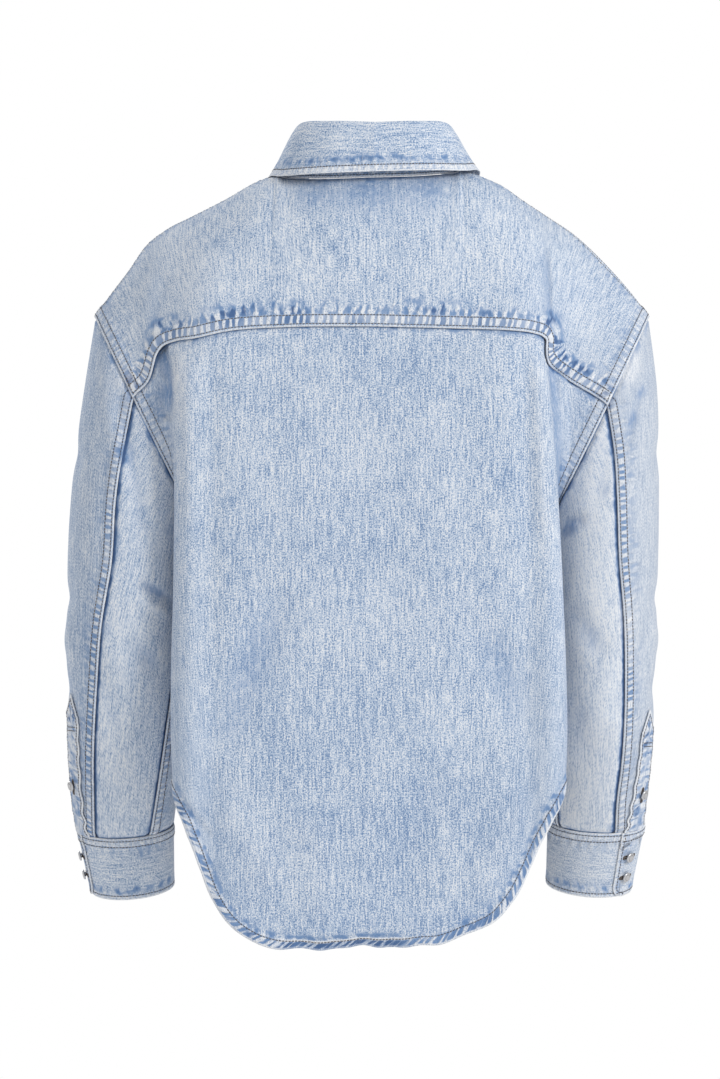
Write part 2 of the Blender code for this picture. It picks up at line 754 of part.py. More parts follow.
def placket_grid():
    """The button band: the strip of the front between its two long edges, from the neck to the hem."""
    edge = front_share("left", PLACKET_HALF_WIDTH, FRONT_UPPER_Z)
    return front_surface("left", np.linspace(-edge, edge, PLACKET_COLUMNS + 1))


def make_placket():
    grid = pulled_in(placket_grid(), right=EDGE, top=SHOULDER_EDGE)
    body_panel("front_placket", grid)
    return grid


def sleeve_panel(name, side, grid):
    grid = mirrored(grid, side)
    grid = pulled_in(grid, left=SLEEVE_EDGE, right=SLEEVE_EDGE, top=ARMHOLE_EDGE, bottom=SEAM_GAP)
    about = ring_axis(side, np.linspace(0, LAST_RING, SLEEVE_ROWS + 1), SLEEVE[side])
    cloth(name, facing_out(grid, about))


def make_cuff(side):
    grid = pulled_in(mirrored(cuff_grid(side), side), top=EDGE)
    about = ring_axis(side, np.linspace(0, 1, CUFF_ROWS + 1), CUFF[side])
    cloth(f"cuff_{side}", facing_out(grid, about))


def make_stand():
    """The stand runs once round the neck and laps at centre front, its buttonhole end outermost."""
    share = np.linspace(0, 1, STAND_COLUMNS + 1)
    around_left = share * (1 + STAND_LAP / 2)
    rise = np.linspace(1, 0, STAND_ROWS + 1)[:, None, None]
    halves = {}
    for side in SIGN:
        base = neck_point(side, around_left)
        base[:, 2] += STAND_RISE
        top = stand_top(side, around_left)
        halves[side] = base * (1 - rise) + top * rise
    lap = (WALL + LAP_GAP) * ramp(STAND_LAP_FROM, 1.0, share)[None, :, None]
    inwards = (NECK_MIDDLE - halves["right"]) * LEVEL
    inwards /= np.linalg.norm(inwards, axis=-1, keepdims=True)
    halves["right"] = halves["right"] + inwards * lap
    grid = whole(halves["left"], halves["right"])
    cloth("collar_stand", facing_out(grid, NECK_MIDDLE * LEVEL + grid * UPRIGHT))
    return grid


def fall_half(side):
    """The turned-down collar: up from the stand's top edge, over the roll, and down to its lower edge."""
    around = np.linspace(0, 1, FALL_COLUMNS + 1) * COLLAR.stations[-1]
    seam = stand_top(side, around)
    crest = np.stack([COLLAR.at(f"crest_{axis}", around) for axis in "xyz"], axis=-1)
    edge = np.stack([COLLAR.at(f"edge_{axis}", around) for axis in "xyz"], axis=-1)
    edge[:, 2] += SIGN[side] * COLLAR_TILT * edge[:, 0]
    for line in (crest, edge):
        line[:, 0] += SIGN[side] * COLLAR_SHIFT_X
    level_out = (edge - crest) * LEVEL
    level_out /= np.linalg.norm(level_out, axis=-1, keepdims=True)
    start = seam + UPRIGHT * (WALL + SEAM_GAP)
    shoulder_of_roll = crest + level_out * ROLL_OUT - UPRIGHT * ROLL_DROP
    knots = np.array([start, crest, shoulder_of_roll, edge])
    rows = np.broadcast_to(np.array(FALL_ROWS)[:, None, None], (len(FALL_ROWS),) + start.shape)
    spread = np.broadcast_to(knots[:, None], (4,) + rows.shape)
    return along(FALL_STATIONS, spread, rows)


def make_fall():
    grid = whole(fall_half("left"), fall_half("right"))
    cloth("collar_fall", facing_out(grid, NECK_MIDDLE + COLLAR.at("crest_z", 0.5) * UPRIGHT / 2))


def ring_height(table):
    """How far apart a sleeve's rings are, over the length of its placket."""
    fall = table.at("out_z", PLACKET_RING) - table.at("out_z", LAST_RING)
    return float(fall) / (LAST_RING - PLACKET_RING)


def sleeve_placket_grid(side):
    """A pointed strip up the sleeve from the cuff, lying on the outer sleeve."""
    table = SLEEVE[side]
    share, up = np.meshgrid(
        np.linspace(-1, 1, SLEEVE_PLACKET_COLUMNS + 1), np.linspace(1, 0, SLEEVE_PLACKET_ROWS + 1)
    )
    length = SLEEVE_PLACKET_LENGTH[side] - SLEEVE_PLACKET_POINT * np.abs(share)
    ring = LAST_RING - PLACKET_FOOT - up * length / ring_height(table)
    width = (table.at("out_x", ring) - table.at("in_x", ring)) / 2
    depth = table.at("half_y", ring)
    middle = SLEEVE_PLACKET_FOOT_DEG[side] * (1 - up) + SLEEVE_PLACKET_POINT_DEG[side] * up
    angle = np.radians(middle)
    speed = np.hypot(width * np.sin(angle), depth * np.cos(angle))
    degrees = middle + np.degrees(share * SLEEVE_PLACKET_HALF_WIDTH / speed)
    return ring_point(table, ring, degrees, WALL + PLACKET_LIFT)


def make_sleeve_placket(side):
    grid = mirrored(sleeve_placket_grid(side), side)
    up = np.linspace(1, 0, SLEEVE_PLACKET_ROWS + 1)
    table = SLEEVE[side]
    about = ring_axis(side, LAST_RING - up * SLEEVE_PLACKET_LENGTH[side] / ring_height(table), table)
    cloth(f"sleeve_placket_{side}", facing_out(grid, about))


def button(name, place, normal, size=1.0):
    """A shank button, turned about its own axis and set on the cloth."""
    mesh = bpy.data.meshes.new(name)
    radius = BUTTON_RADIUS * size * MM
    height = BUTTON_HEIGHT * size * MM
    points = [(r * radius, 0.0, h * height) for r, h in BUTTON_PROFILE]
    mesh.from_pydata(points, [(i, i + 1) for i in range(len(points) - 1)], [])
    mesh.materials.append(material(f"{name}_metal", METAL_COLOUR, METAL_ROUGHNESS, 1.0))
    made = bpy.data.objects.new(name, mesh)
    JACKET.objects.link(made)
    turned = made.modifiers.new("turned", "SCREW")
    turned.axis = "Z"
    turned.steps = BUTTON_STEPS
    turned.render_steps = BUTTON_STEPS
    turned.use_merge_vertices = True
    turned.merge_threshold = POINT_MERGE
    turned.use_smooth_shade = True
    normal = Vector(normal)
    made.location = Vector(place) * MM + normal * (SEAM_GAP * MM)
    made.rotation_mode = "QUATERNION"
    made.rotation_quaternion = Vector((0, 0, 1)).rotation_difference(normal)
    return made


def row_at_height(grid, column, z):
    """The fractional row where one column of a grid reaches a height."""
    heights = grid[:, column, 2]
    row = int(np.argmax(heights < z)) - 1
    return row + (heights[row] - z) / (heights[row] - heights[row + 1])


def point_normal_out(grid, row, column, about):
    """A place on a panel and its normal, turned to point away from the middle of the panel's hollow."""
    place, normal = point_on(grid, row, column)
    return place, normal if np.dot(normal, place - about) > 0 else -normal


def make_front_buttons(placket):
    middle = (placket.shape[1] - 1) / 2
    for number in range(FRONT_BUTTONS):
        z = FRONT_BUTTON_TOP_Z - number * FRONT_BUTTON_PITCH
        row = row_at_height(placket, placket.shape[1] // 2, z)
        place, normal = point_normal_out(placket, row, middle, z * UPRIGHT)
        button(f"front_button_{number + 1}", place, normal, FRONT_BUTTON_SIZE)


def make_stand_button(stand):
    middle = stand.shape[1] - 1 - STAND_LAP * STAND_COLUMNS / 2
    row = (stand.shape[0] - 1) / 2
    place, normal = point_normal_out(stand, row, middle, NECK_MIDDLE + stand[0, -1] * UPRIGHT)
    button("stand_button", place, normal)


def make_cuff_buttons(side):
    """Two buttons one above the other, in from the cuff's lapped end."""
    grid = mirrored(cuff_grid(side), side)
    column = CUFF_BUTTON_INSET_DEG / (360.0 + CUFF_LAP_DEG) * CUFF_COLUMNS
    about = ring_axis(side, np.linspace(0, 1, CUFF_ROWS + 1), CUFF[side])[CUFF_ROWS // 2, 0]
    for number, shift in enumerate((-0.5, 0.5)):
        row = CUFF_ROWS * (CUFF_BUTTON_MIDDLE[side] + shift * CUFF_BUTTON_PITCH / CUFF_HEIGHT)
        place, normal = point_normal_out(grid, row, column, about)
        button(f"cuff_button_{side}_{number + 1}", place, normal)


def make_placket_button(side):
    grid = mirrored(sleeve_placket_grid(side), side)
    row = SLEEVE_PLACKET_ROWS * PLACKET_BUTTON_ROW[side]
    about = ring_axis(side, np.array([(PLACKET_RING + LAST_RING) / 2]), SLEEVE[side])[0, 0]
    place, normal = point_normal_out(grid, row, SLEEVE_PLACKET_COLUMNS / 2, about)
    button(f"placket_button_{side}", place, normal)


make_back()
make_yoke()
make_fronts()
make_front_buttons(make_placket())
make_stand_button(make_stand())
make_fall()
for which in SIGN:
    sleeve_panel(f"sleeve_outer_{which}", which, sleeve_outer(which))
    sleeve_panel(f"sleeve_under_{which}", which, sleeve_under(which))
    make_cuff(which)
    make_sleeve_placket(which)
    make_cuff_buttons(which)
    make_placket_button(which)
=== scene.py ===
# %% [markdown]
# # A washed denim shirt jacket
#
# This notebook dresses a packed model of a shirt jacket. The real garment is cut flat from stiff
# twill, sewn with double rows of dark thread, then tumbled with stones until every raised place is
# nearly white and every hollow keeps its blue. So three things have to agree everywhere: the shape
# of a panel, the stitching that pulls it into puckers, and the fading that follows those puckers.
#
# The plan is to work each panel out as a surface: a grid of points that comes from short tables of
# sizes. The same grid then carries its folds, its seams, its stitches and the pattern of its wear.

import bpy
import numpy as np
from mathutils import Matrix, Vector


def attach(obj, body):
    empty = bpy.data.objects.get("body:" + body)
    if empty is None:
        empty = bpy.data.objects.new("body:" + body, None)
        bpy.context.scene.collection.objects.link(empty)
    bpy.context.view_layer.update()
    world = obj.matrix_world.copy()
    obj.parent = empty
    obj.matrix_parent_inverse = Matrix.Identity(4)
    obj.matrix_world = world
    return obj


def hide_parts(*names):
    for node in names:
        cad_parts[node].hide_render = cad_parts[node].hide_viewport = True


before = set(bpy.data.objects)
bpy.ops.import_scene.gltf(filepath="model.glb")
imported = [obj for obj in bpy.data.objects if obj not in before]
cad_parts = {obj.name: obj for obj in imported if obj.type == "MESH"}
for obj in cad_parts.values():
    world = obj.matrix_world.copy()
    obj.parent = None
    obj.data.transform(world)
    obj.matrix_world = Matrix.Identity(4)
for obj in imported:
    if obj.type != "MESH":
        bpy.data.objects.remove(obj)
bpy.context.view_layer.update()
MM = 0.001
print("packed nodes:", len(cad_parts))

# %% [markdown]
# ## Curves through short tables
#
# A pattern maker draws a curve through a few marked points. Here a `Table` holds such points in
# named columns, in millimetres, and `along` draws a cubic curve through them. It could be a Bezier
# object in Blender, but a formula takes whole arrays of stations at once, which a fine grid needs.


# %% Tables and curves
def along(stations, values, at):
    """A cubic through the values at their stations: each piece blends its two ends with their slopes,
    and a slope is the average of the straight slopes on both sides, weighted by their widths."""
    stations = np.asarray(stations, float)
    at = np.asarray(at, float)
    values = np.asarray(values, float)
    values = values.reshape(values.shape + (1,) * (at.ndim + 1 - values.ndim))
    values = np.broadcast_to(values, (len(stations),) + at.shape)
    step = np.diff(stations).reshape((-1,) + (1,) * at.ndim)
    slope = np.diff(values, axis=0) / step
    inner = (slope[:-1] * step[1:] + slope[1:] * step[:-1]) / (step[1:] + step[:-1])
    tangent = np.concatenate([slope[:1], inner, slope[-1:]])
    cell = np.clip(np.searchsorted(stations, at, side="right") - 1, 0, len(stations) - 2)

    def pick(array, index):
        return np.take_along_axis(array, index[None], axis=0)[0]

    width = stations[cell + 1] - stations[cell]
    t = (at - stations[cell]) / width
    start, end = pick(values, cell), pick(values, cell + 1)
    leaving, arriving = pick(tangent, cell) * width, pick(tangent, cell + 1) * width
    return (
        start * (1 + 2 * t) * (1 - t) ** 2
        + leaving * t * (1 - t) ** 2
        + end * t * t * (3 - 2 * t)
        + arriving * t * t * (t - 1)
    )


class Table:
    """Rows of named columns. The first is the station, and the others are smooth curves over it."""

    def __init__(self, names, rows):
        order = np.array(sorted(rows), float)
        self.columns = dict(zip(names.split(), order.T))
        self.stations = order[:, 0]

    def at(self, name, station):
        return along(self.stations, self.columns[name], station)


def sided(names, left, right):
    """A table for each half of the garment, named by the wearer's side."""
    return {"left": Table(names, left), "right": Table(names, right)}


def ramp(low, high, value):
    """0 below low, 1 above high, and between them 3t^2 - 2t^3 of the way t."""
    t = np.clip((np.asarray(value, float) - low) / (high - low), 0.0, 1.0)
    return t * t * (3 - 2 * t)


def stacked(x, y, z):
    return np.stack(np.broadcast_arrays(x, y, z), axis=-1).astype(float)


print("halfway along a table's curve:", along([0, 1, 2], [0, 1, 0], 1.5))

# %% [markdown]
# ## The body, in sections
#
# The garment hangs from the shoulders. Its back falls nearly flat, rounds a soft vertical fold at
# each side and turns in to the armhole. One row of the table is one level: where the middle of the
# back is, where the fold's corner is, and where the cloth turns to the seam. The two halves differ,
# because a worn garment never hangs evenly.

# %% Sections of the body
BACK = sided(
    "z back_y corner_x corner_y turn_x turn_y side_x",
    [
        (-130, 100, 203, 68, 238, 46, 163),
        (-160, 102, 196, 76, 222, 62, 163),
        (-193, 103, 187, 80, 207, 68, 163),
        (-223, 103, 185, 79, 200, 64, 163),
        (-260, 102, 185, 77, 192, 62, 163),
        (-300, 102, 186, 75, 181, 54, 163),
        (-340, 101, 187, 72, 168.5, 35, 163),
        (-400, 99, 188, 70, 170, 34, 154),
        (-470, 98, 190, 70, 170, 34, 152),
        (-540, 99, 190, 72, 171, 36, 154),
        (-600, 101, 187, 74, 171, 38, 157),
        (-680, 104, 184, 76, 172, 40, 160),
        (-750, 106, 183, 78, 172, 40, 161),
    ],
    [
        (-130, 100, 196, 70, 234, 46, 167),
        (-160, 102, 167, 82, 187, 60, 167),
        (-193, 103, 166, 84, 182, 62, 167),
        (-223, 103, 171, 82, 186, 62, 167),
        (-260, 102, 175, 80, 186, 62, 167),
        (-300, 102, 178, 76, 178, 54, 167),
        (-340, 101, 181, 72, 169, 35, 167),
        (-400, 99, 184, 70, 166, 34, 153),
        (-470, 98, 187, 70, 166, 34, 150),
        (-540, 99, 188, 72, 167, 36, 151),
        (-600, 101, 185, 74, 168, 38, 154),
        (-680, 104, 182, 76, 169, 40, 157),
        (-750, 106, 181, 78, 170, 40, 158),
    ],
)

FRONT = Table(
    "z front_y corner_x corner_y turn_x turn_y",
    [
        (-130, -106, 190, -60, 232, -42),
        (-175, -113, 184, -72, 214, -60),
        (-223, -118, 178, -79, 198, -64),
        (-260, -120, 176, -81, 190, -62),
        (-300, -121, 175, -80, 180, -54),
        (-340, -121, 174, -78, 166, -36),
        (-400, -119, 173, -77, 165, -34),
        (-470, -116, 172, -77, 163, -34),
        (-540, -114, 173, -78, 163, -36),
        (-600, -113, 174, -80, 164, -38),
        (-720, -112, 176, -82, 166, -40),
    ],
)

print("levels of the back:", len(BACK["left"].stations), "and of the front:", len(FRONT.stations))

# %% [markdown]
# ## Seam lines and hems
#
# The yoke seam runs level across the back and dives at each end to the armhole. The hem is a shirt
# tail: deep in the middle, and curved up to the side seams. Both are heights over `around`, the
# share of the way round from centre back (0) to the panel's edge (1).

# %% Seam lines and hems
YOKE_SEAM = sided(
    "around z",
    [
        (0, -144), (0.24, -144.5), (0.43, -148), (0.56, -155), (0.66, -157.5),
        (0.73, -162), (0.78, -170), (0.83, -181), (0.88, -193), (1, -210.6),
    ],
    [
        (0, -144), (0.3, -146), (0.48, -147.5), (0.6, -150), (0.68, -153.5),
        (0.715, -157), (0.76, -170.5), (0.86, -188.5), (0.93, -203.5), (1, -217.8),
    ],
)

BACK_HEM = sided(
    "around z",
    [
        (0, -735), (0.2, -738), (0.315, -735), (0.41, -726), (0.465, -715), (0.52, -698),
        (0.56, -678), (0.61, -642), (0.65, -617), (0.72, -591), (0.85, -575), (1, -566),
    ],
    [
        (0, -735), (0.13, -734), (0.23, -730), (0.31, -724), (0.38, -716), (0.445, -704),
        (0.49, -688), (0.54, -666), (0.585, -641), (0.64, -615), (0.72, -587), (0.85, -574),
        (1, -566),
    ],
)

FRONT_HEM = Table(
    "around z",
    [(0, -706), (0.2, -705), (0.4, -694), (0.55, -661), (0.7, -616), (0.85, -583), (1, -566)],
)

# How straight the cloth falls from the neck and shoulder: 1 is straight and 0 a quarter of an ellipse
YOKE_FALL = Table(
    "around straightness", [(0.0, 0.5), (0.1, 0.42), (0.24, 0.15), (0.32, -0.12), (0.45, 0.0), (1.0, 0.0)]
)
FRONT_FALL = Table(
    "around straightness", [(0.0, 0.85), (0.2, 0.6), (0.38, 0.1), (0.5, 0.0), (1.0, 0.0)]
)
print("the back hem is lowest at", BACK_HEM["left"].columns["z"].min(), "mm")

# %% [markdown]
# ## Neck, collar and shoulders
#
# The collar stands on a neck seam that drops from centre back to the throat. The collar falls over
# its stand, so its table holds two lines round the neck: the crest and the lower edge.

# %% Neck, collar and shoulders
# Half of the neck seam, from centre back (0) by the neck point (0.5) to centre front (1)
NECK = Table(
    "around x y z",
    [
        (0, 0, 60, 0), (0.18, 44, 53, 0.5), (0.36, 79, 26, 4), (0.5, 89, -8, 7),
        (0.68, 77, -50, -20), (0.86, 42, -76, -60), (1, 0, -84, -79),
    ],
)

# The crest of the turned-down collar and its lower edge, round the same half of the neck
COLLAR = Table(
    "around crest_x crest_y crest_z edge_x edge_y edge_z",
    [
        (0, 0, 55, 52.5, 0, 76, 4), (0.18, 40, 48, 54, 51, 69, 4), (0.36, 70, 24, 53.5, 89, 40, 4.5),
        (0.5, 77, -6, 43, 101, 2, 7), (0.68, 69, -44, 15, 101, -51, -3), (0.86, 40, -72, -22, 81, -97, -68),
        (0.985, 5, -84, -44, 52, -113, -124),
    ],
)

SHOULDER = sided(
    "x z",
    [
        (89, 7), (109, 0), (141, -18), (170, -33), (198, -48), (217, -64), (232, -86),
        (249, -109), (265, -131),
    ],
    [
        (89, 7), (106, 1), (128, -8), (147, -21), (172, -37), (199, -55), (224, -78),
        (246, -102), (269, -131),
    ],
)

COLLAR_TILT = -0.03
print("neck seam points:", len(NECK.stations))

# %% [markdown]
# ## Sleeves and cuffs
#
# Each sleeve is a tube of ellipses, one ring to a row. A ring gives its outermost and innermost
# points, its depth from front to back, how far it leans forward, and the angles of its two seams.

# %% Sleeves and cuffs
# Rings of each sleeve, from the armhole (0) to the cuff (8): the outermost and innermost points,
# the middle and half of the depth front to back, how many degrees the ring leans, and at which
# angles its seams run
SLEEVE = sided(
    "ring out_x out_z in_x in_z mid_y half_y lean back_seam inner_seam",
    [
        (0, 265, -131, 163, -341, 0, 62, 0, 76, 180),
        (1, 276.5, -203, 167, -355, 0, 67, 0, 75, 177),
        (2, 285.5, -269, 172, -377, -1, 69, 0, 75, 172),
        (3, 291.5, -340, 176, -411, -3, 69, 2, 76, 164),
        (4, 293.5, -415, 178, -454, -8, 66, 5, 67, 153),
        (5, 294, -488, 181, -503, -18, 61, 9, 62, 143),
        (6, 293, -545, 184, -550, -31, 54, 13, 58, 135),
        (7, 290, -594, 187.5, -592, -45, 46, 16, 55, 128),
        (8, 285, -631, 192, -626, -56, 35, 17, 50, 123),
    ],
    [
        (0, 269, -131, 167, -341, 0, 62, 0, 80, 180),
        (1, 277.5, -200, 169.5, -355, 0, 67, 0, 79, 178),
        (2, 279.5, -264, 171, -377, -1, 69, 0, 78, 175),
        (3, 279.5, -335, 172, -411, -3, 69, 2, 76, 170),
        (4, 278, -410, 172.5, -454, -8, 66, 5, 69, 163),
        (5, 276.5, -486, 173, -503, -18, 61, 9, 66, 157),
        (6, 275, -543, 173.5, -549, -31, 54, 13, 67, 152),
        (7, 271.5, -589, 173, -590, -45, 46, 16, 69, 148),
        (8, 268, -625, 174, -621, -56, 36, 17, 67, 145),
    ],
)

# The cuffs' top and bottom rings
CUFF = sided(
    "down out_x out_z in_x in_z mid_y half_y lean",
    [(0, 285, -631, 192, -626, -56, 35, 17), (1, 273, -692, 192, -685, -74, 34, 17)],
    [(0, 268, -625, 174, -621, -56, 36, 17), (1, 256, -689, 173, -683, -75, 35, 17)],
)

LAST_RING = 8.0
print("rings to a sleeve:", len(SLEEVE["left"].stations))

# %% [markdown]
# ## The garment's own surface
#
# Every panel now becomes a function of two shares: how far round, and how far down. The armhole is
# an ellipse that leans out towards the shoulder. The body's sections meet it at their ends, the yoke
# rolls over the shoulder like a quarter of an ellipse, and the sleeve's first ring is the armhole.

# %% Armhole and body
# A section's middle, rounding, corner, turn and edge, as shares of the way round, and how the middle
# and the rounding are set out from the table's corner
SECTION_STATIONS = (-0.30, 0.0, 0.30, 0.55, 0.72, 0.86, 1.0)
MIDDLE_SHARE = 0.46
SHOULDER_SHARE = 0.83
MIDDLE_SAG = 1.0
ROUNDING = 0.24
WALL = 1.2
ARMHOLE_HALF_DEPTH = 62.0
ARMHOLE_MIDDLE_Z = -236.0
ARMHOLE_HALF_HEIGHT = 105.0
ARMHOLE_LEAN_X = 51.0
ARMHOLE_MIDDLE_X = {"left": 214.0, "right": 218.0}
SIGN = {"left": 1.0, "right": -1.0}
LEVEL = np.array([1.0, 1.0, 0.0])
UPRIGHT = np.array([0.0, 0.0, 1.0])


def armhole_point(side, degrees):
    """The armhole at an angle from the shoulder tip: 180 is the underarm, and the back is positive."""
    angle = np.radians(degrees)
    return stacked(
        ARMHOLE_MIDDLE_X[side] + ARMHOLE_LEAN_X * np.cos(angle),
        ARMHOLE_HALF_DEPTH * np.sin(angle),
        ARMHOLE_MIDDLE_Z + ARMHOLE_HALF_HEIGHT * np.cos(angle),
    )


def panel_edge(side, z, facing):
    """The panel's outer edge at a height: the armhole's ellipse, and below it the side seam."""
    cosine = np.clip((z - ARMHOLE_MIDDLE_Z) / ARMHOLE_HALF_HEIGHT, -1.0, 1.0)
    above = z > ARMHOLE_MIDDLE_Z - ARMHOLE_HALF_HEIGHT
    armhole_x = ARMHOLE_MIDDLE_X[side] + ARMHOLE_LEAN_X * cosine
    armhole_y = facing * ARMHOLE_HALF_DEPTH * np.sqrt(1 - cosine**2)
    return (
        np.where(above, armhole_x, BACK[side].at("side_x", z)),
        np.where(above, armhole_y, 0.0),
    )


def body_section(side, around, z, facing):
    """Half of the body's level section: a cubic through its middle, rounding, corner, turn and edge."""
    z = np.asarray(z, float)
    table = BACK[side] if facing > 0 else FRONT
    middle_y = table.at("back_y" if facing > 0 else "front_y", z)
    corner_x, corner_y = table.at("corner_x", z), table.at("corner_y", z)
    turn_x, turn_y = table.at("turn_x", z), table.at("turn_y", z)
    edge_x, edge_y = panel_edge(side, z, facing)
    near_y = middle_y - facing * MIDDLE_SAG
    round_y = middle_y + ROUNDING * (corner_y - middle_y)
    near_x = MIDDLE_SHARE * corner_x
    xs = [-near_x, 0 * corner_x, near_x, SHOULDER_SHARE * corner_x, corner_x, turn_x, edge_x]
    ys = [near_y, middle_y, near_y, round_y, corner_y, turn_y, edge_y]
    around = np.broadcast_to(around, z.shape)
    return stacked(
        along(SECTION_STATIONS, np.array(xs), around),
        along(SECTION_STATIONS, np.array(ys), around),
        z,
    )


print("the left shoulder tip:", armhole_point("left", 0.0), "mm")

# %% Neck, shoulder and yoke
YOKE_APEX_DEG = {"left": 76.0, "right": 80.0}
YOKE_NECK_SHARE = 0.32
FRONT_NECK_SHARE = 0.38
FRONT_UPPER_Z = -175.0
ARMHOLE_TURN = (0.6, 1.0)
NECK_POINT = 0.5


def neck_point(side, around):
    """The neck seam: around runs from centre back (0) to centre front (1), and past 1 to the other side."""
    around = np.asarray(around, float)
    past = np.where(around > 1, 2 - around, around)
    x = NECK.at("x", past) * np.where(around > 1, -1, 1)
    z = NECK.at("z", past) + SIGN[side] * COLLAR_TILT * x
    return stacked(x, NECK.at("y", past), z)


def shoulder_point(side, share):
    """The shoulder seam from the neck point (0) to the shoulder tip (1)."""
    start, end = neck_point(side, NECK_POINT), armhole_point(side, 0.0)
    share = np.asarray(share, float)
    x = start[0] + (end[0] - start[0]) * share
    lift = (start[2] - SHOULDER[side].at("z", start[0])) * (1 - share)
    return stacked(x, start[1] * (1 - share), SHOULDER[side].at("z", x) + lift)


def top_edge(side, around, neck_share, facing):
    """The upper edge of the yoke or of a front: the neck seam, and then the shoulder seam."""
    around = np.asarray(around, float)
    share = np.clip(around / neck_share, -1.0, 1.0)
    neck_at = NECK_POINT * share if facing > 0 else 1 - (1 - NECK_POINT) * share
    on_neck = neck_point(side, neck_at)
    on_shoulder = shoulder_point(side, np.clip((around - neck_share) / (1 - neck_share), 0, 1))
    return np.where((around <= neck_share)[..., None], on_neck, on_shoulder)


def over_shoulder(top, bottom, down, straightness):
    """Cloth that leaves the top edge level and hangs at the bottom edge: a quarter of an ellipse, with
    its drop blended towards a straight fall."""
    turn = np.pi / 2 * down
    drop = (1 - np.cos(turn)) * (1 - straightness) + down * straightness
    return top + (bottom - top) * np.stack([down, np.sin(turn), drop], axis=-1)


def upper_panel(side, around, down, neck_share, facing, seam_z):
    """The yoke, or the part of a front as deep as the yoke, bent at its outer end to the armhole."""
    apex_deg = YOKE_APEX_DEG[side]
    top = top_edge(side, around, neck_share, facing)
    bottom = body_section(side, around, seam_z, facing)
    straightness = (YOKE_FALL if facing > 0 else FRONT_FALL).at("straightness", np.abs(around))
    points = over_shoulder(top, bottom, down, straightness)
    edge_top, edge_bottom = armhole_point(side, 0.0), armhole_point(side, facing * apex_deg)
    plain = over_shoulder(edge_top, edge_bottom, down, np.zeros_like(down))
    true_edge = armhole_point(side, facing * apex_deg * down)
    return points + (true_edge - plain) * ramp(*ARMHOLE_TURN, around)[..., None] ** 2


shoulder = shoulder_point("left", 1) - shoulder_point("left", 0)
print("shoulder length:", round(float(np.linalg.norm(shoulder)), 1), "mm")


# %% Lower levels and rings
def front_seam_z(side, around):
    """The level on a front where the shoulder's rounding ends: it drops to the armhole."""
    apex_z = armhole_point(side, YOKE_APEX_DEG[side])[2]
    return FRONT_UPPER_Z + (apex_z - FRONT_UPPER_Z) * ramp(*ARMHOLE_TURN, around)


def hanging_rows(top_z, hem_z, shares):
    """Heights from the top edge by the underarm line (1) to the hem (2)."""
    underarm = ARMHOLE_MIDDLE_Z - ARMHOLE_HALF_HEIGHT
    upper = top_z + (underarm - top_z) * np.clip(shares, 0, 1)
    return upper + (hem_z - underarm) * np.clip(shares - 1, 0, 1)


def ring_point(table, station, degrees, outwards=0.0):
    """A ring of a sleeve or cuff: an ellipse from its outermost point (0 degrees) by the back (90)."""
    angle = np.radians(degrees)
    out_x, out_z = table.at("out_x", station), table.at("out_z", station)
    in_x, in_z = table.at("in_x", station), table.at("in_z", station)
    half_y, lean = table.at("half_y", station), np.radians(table.at("lean", station))
    grow = 1 + outwards / np.hypot((out_x - in_x) / 2, (out_z - in_z) / 2)
    across, back = np.cos(angle) * grow, np.sin(angle) * (1 + outwards / half_y)
    return stacked(
        (out_x + in_x) / 2 + across * (out_x - in_x) / 2,
        table.at("mid_y", station) + back * half_y * np.cos(lean),
        (out_z + in_z) / 2 + across * (out_z - in_z) / 2 - back * half_y * np.sin(lean),
    )


def ring_middle(table, station):
    """The middle of a ring, halfway between its outermost and innermost points."""
    return (ring_point(table, station, 0.0) + ring_point(table, station, 180.0)) / 2


print("the middle of the left wrist:", np.round(ring_middle(SLEEVE["left"], LAST_RING)), "mm")

# %% [markdown]
# ## A panel that knows its edges
#
# Seams, stitches and wear all follow a panel's edges. So each panel is kept as a grid of points with
# two more numbers for each of its four edges: how far the point is from the edge, and how far along
# the edge it lies. Near an edge they are measured to the nearest piece of it, so that a seam keeps
# its width where it runs at a slant. The grid lines stand close together near an edge, where the
# seams are, and further apart between.

# %% Where the grid lines go
FINE = 1.0
SEAM_ZONE = 14.0
HEM_ZONE = 12.0


def arc_along(line):
    """Distance along a line of points from its first one."""
    steps = np.linalg.norm(np.diff(line, axis=0), axis=1)
    return np.concatenate([[0], np.cumsum(steps)])


def spaced(length, coarse, start=0.0, end=0.0, fine=FINE):
    """Shares of a line's length: steps are fine within a zone of either end, and grow to coarse."""
    s = np.linspace(0, length, 3000)
    from_start = s - start if start else np.full_like(s, length)
    from_end = length - s - end if end else np.full_like(s, length)
    step = fine + (coarse - fine) * ramp(0, max(start, end, 1.0), np.minimum(from_start, from_end))
    count = np.concatenate([[0], np.cumsum(np.diff(s) * 2 / (step[1:] + step[:-1]))])
    wanted = np.linspace(0, count[-1], int(np.ceil(count[-1])) + 1)
    return np.interp(wanted, count, s) / length


def stations(curve, low, high, coarse, start=0.0, end=0.0, fine=FINE):
    """Values from low to high at which the curve's points have those spacings, in millimetres."""
    t = np.linspace(low, high, 700)
    arc = arc_along(curve(t))
    return np.interp(spaced(arc[-1], coarse, start, end, fine) * arc[-1], arc, t)


print("lines across 100 mm:", len(spaced(100.0, 3.0, SEAM_ZONE, SEAM_ZONE)))

# %% Distances on a grid
TINY = 1e-9


def unit(vectors):
    """The vectors at a length of one."""
    return vectors / np.maximum(np.linalg.norm(vectors, axis=-1, keepdims=True), TINY)


def running(points, axis):
    """Distance along the grid lines from the first point of each line."""
    steps = np.linalg.norm(np.diff(points, axis=axis), axis=-1)
    start = np.zeros_like(np.take(steps, [0], axis=axis))
    return np.cumsum(np.concatenate([start, steps], axis=axis), axis=axis)


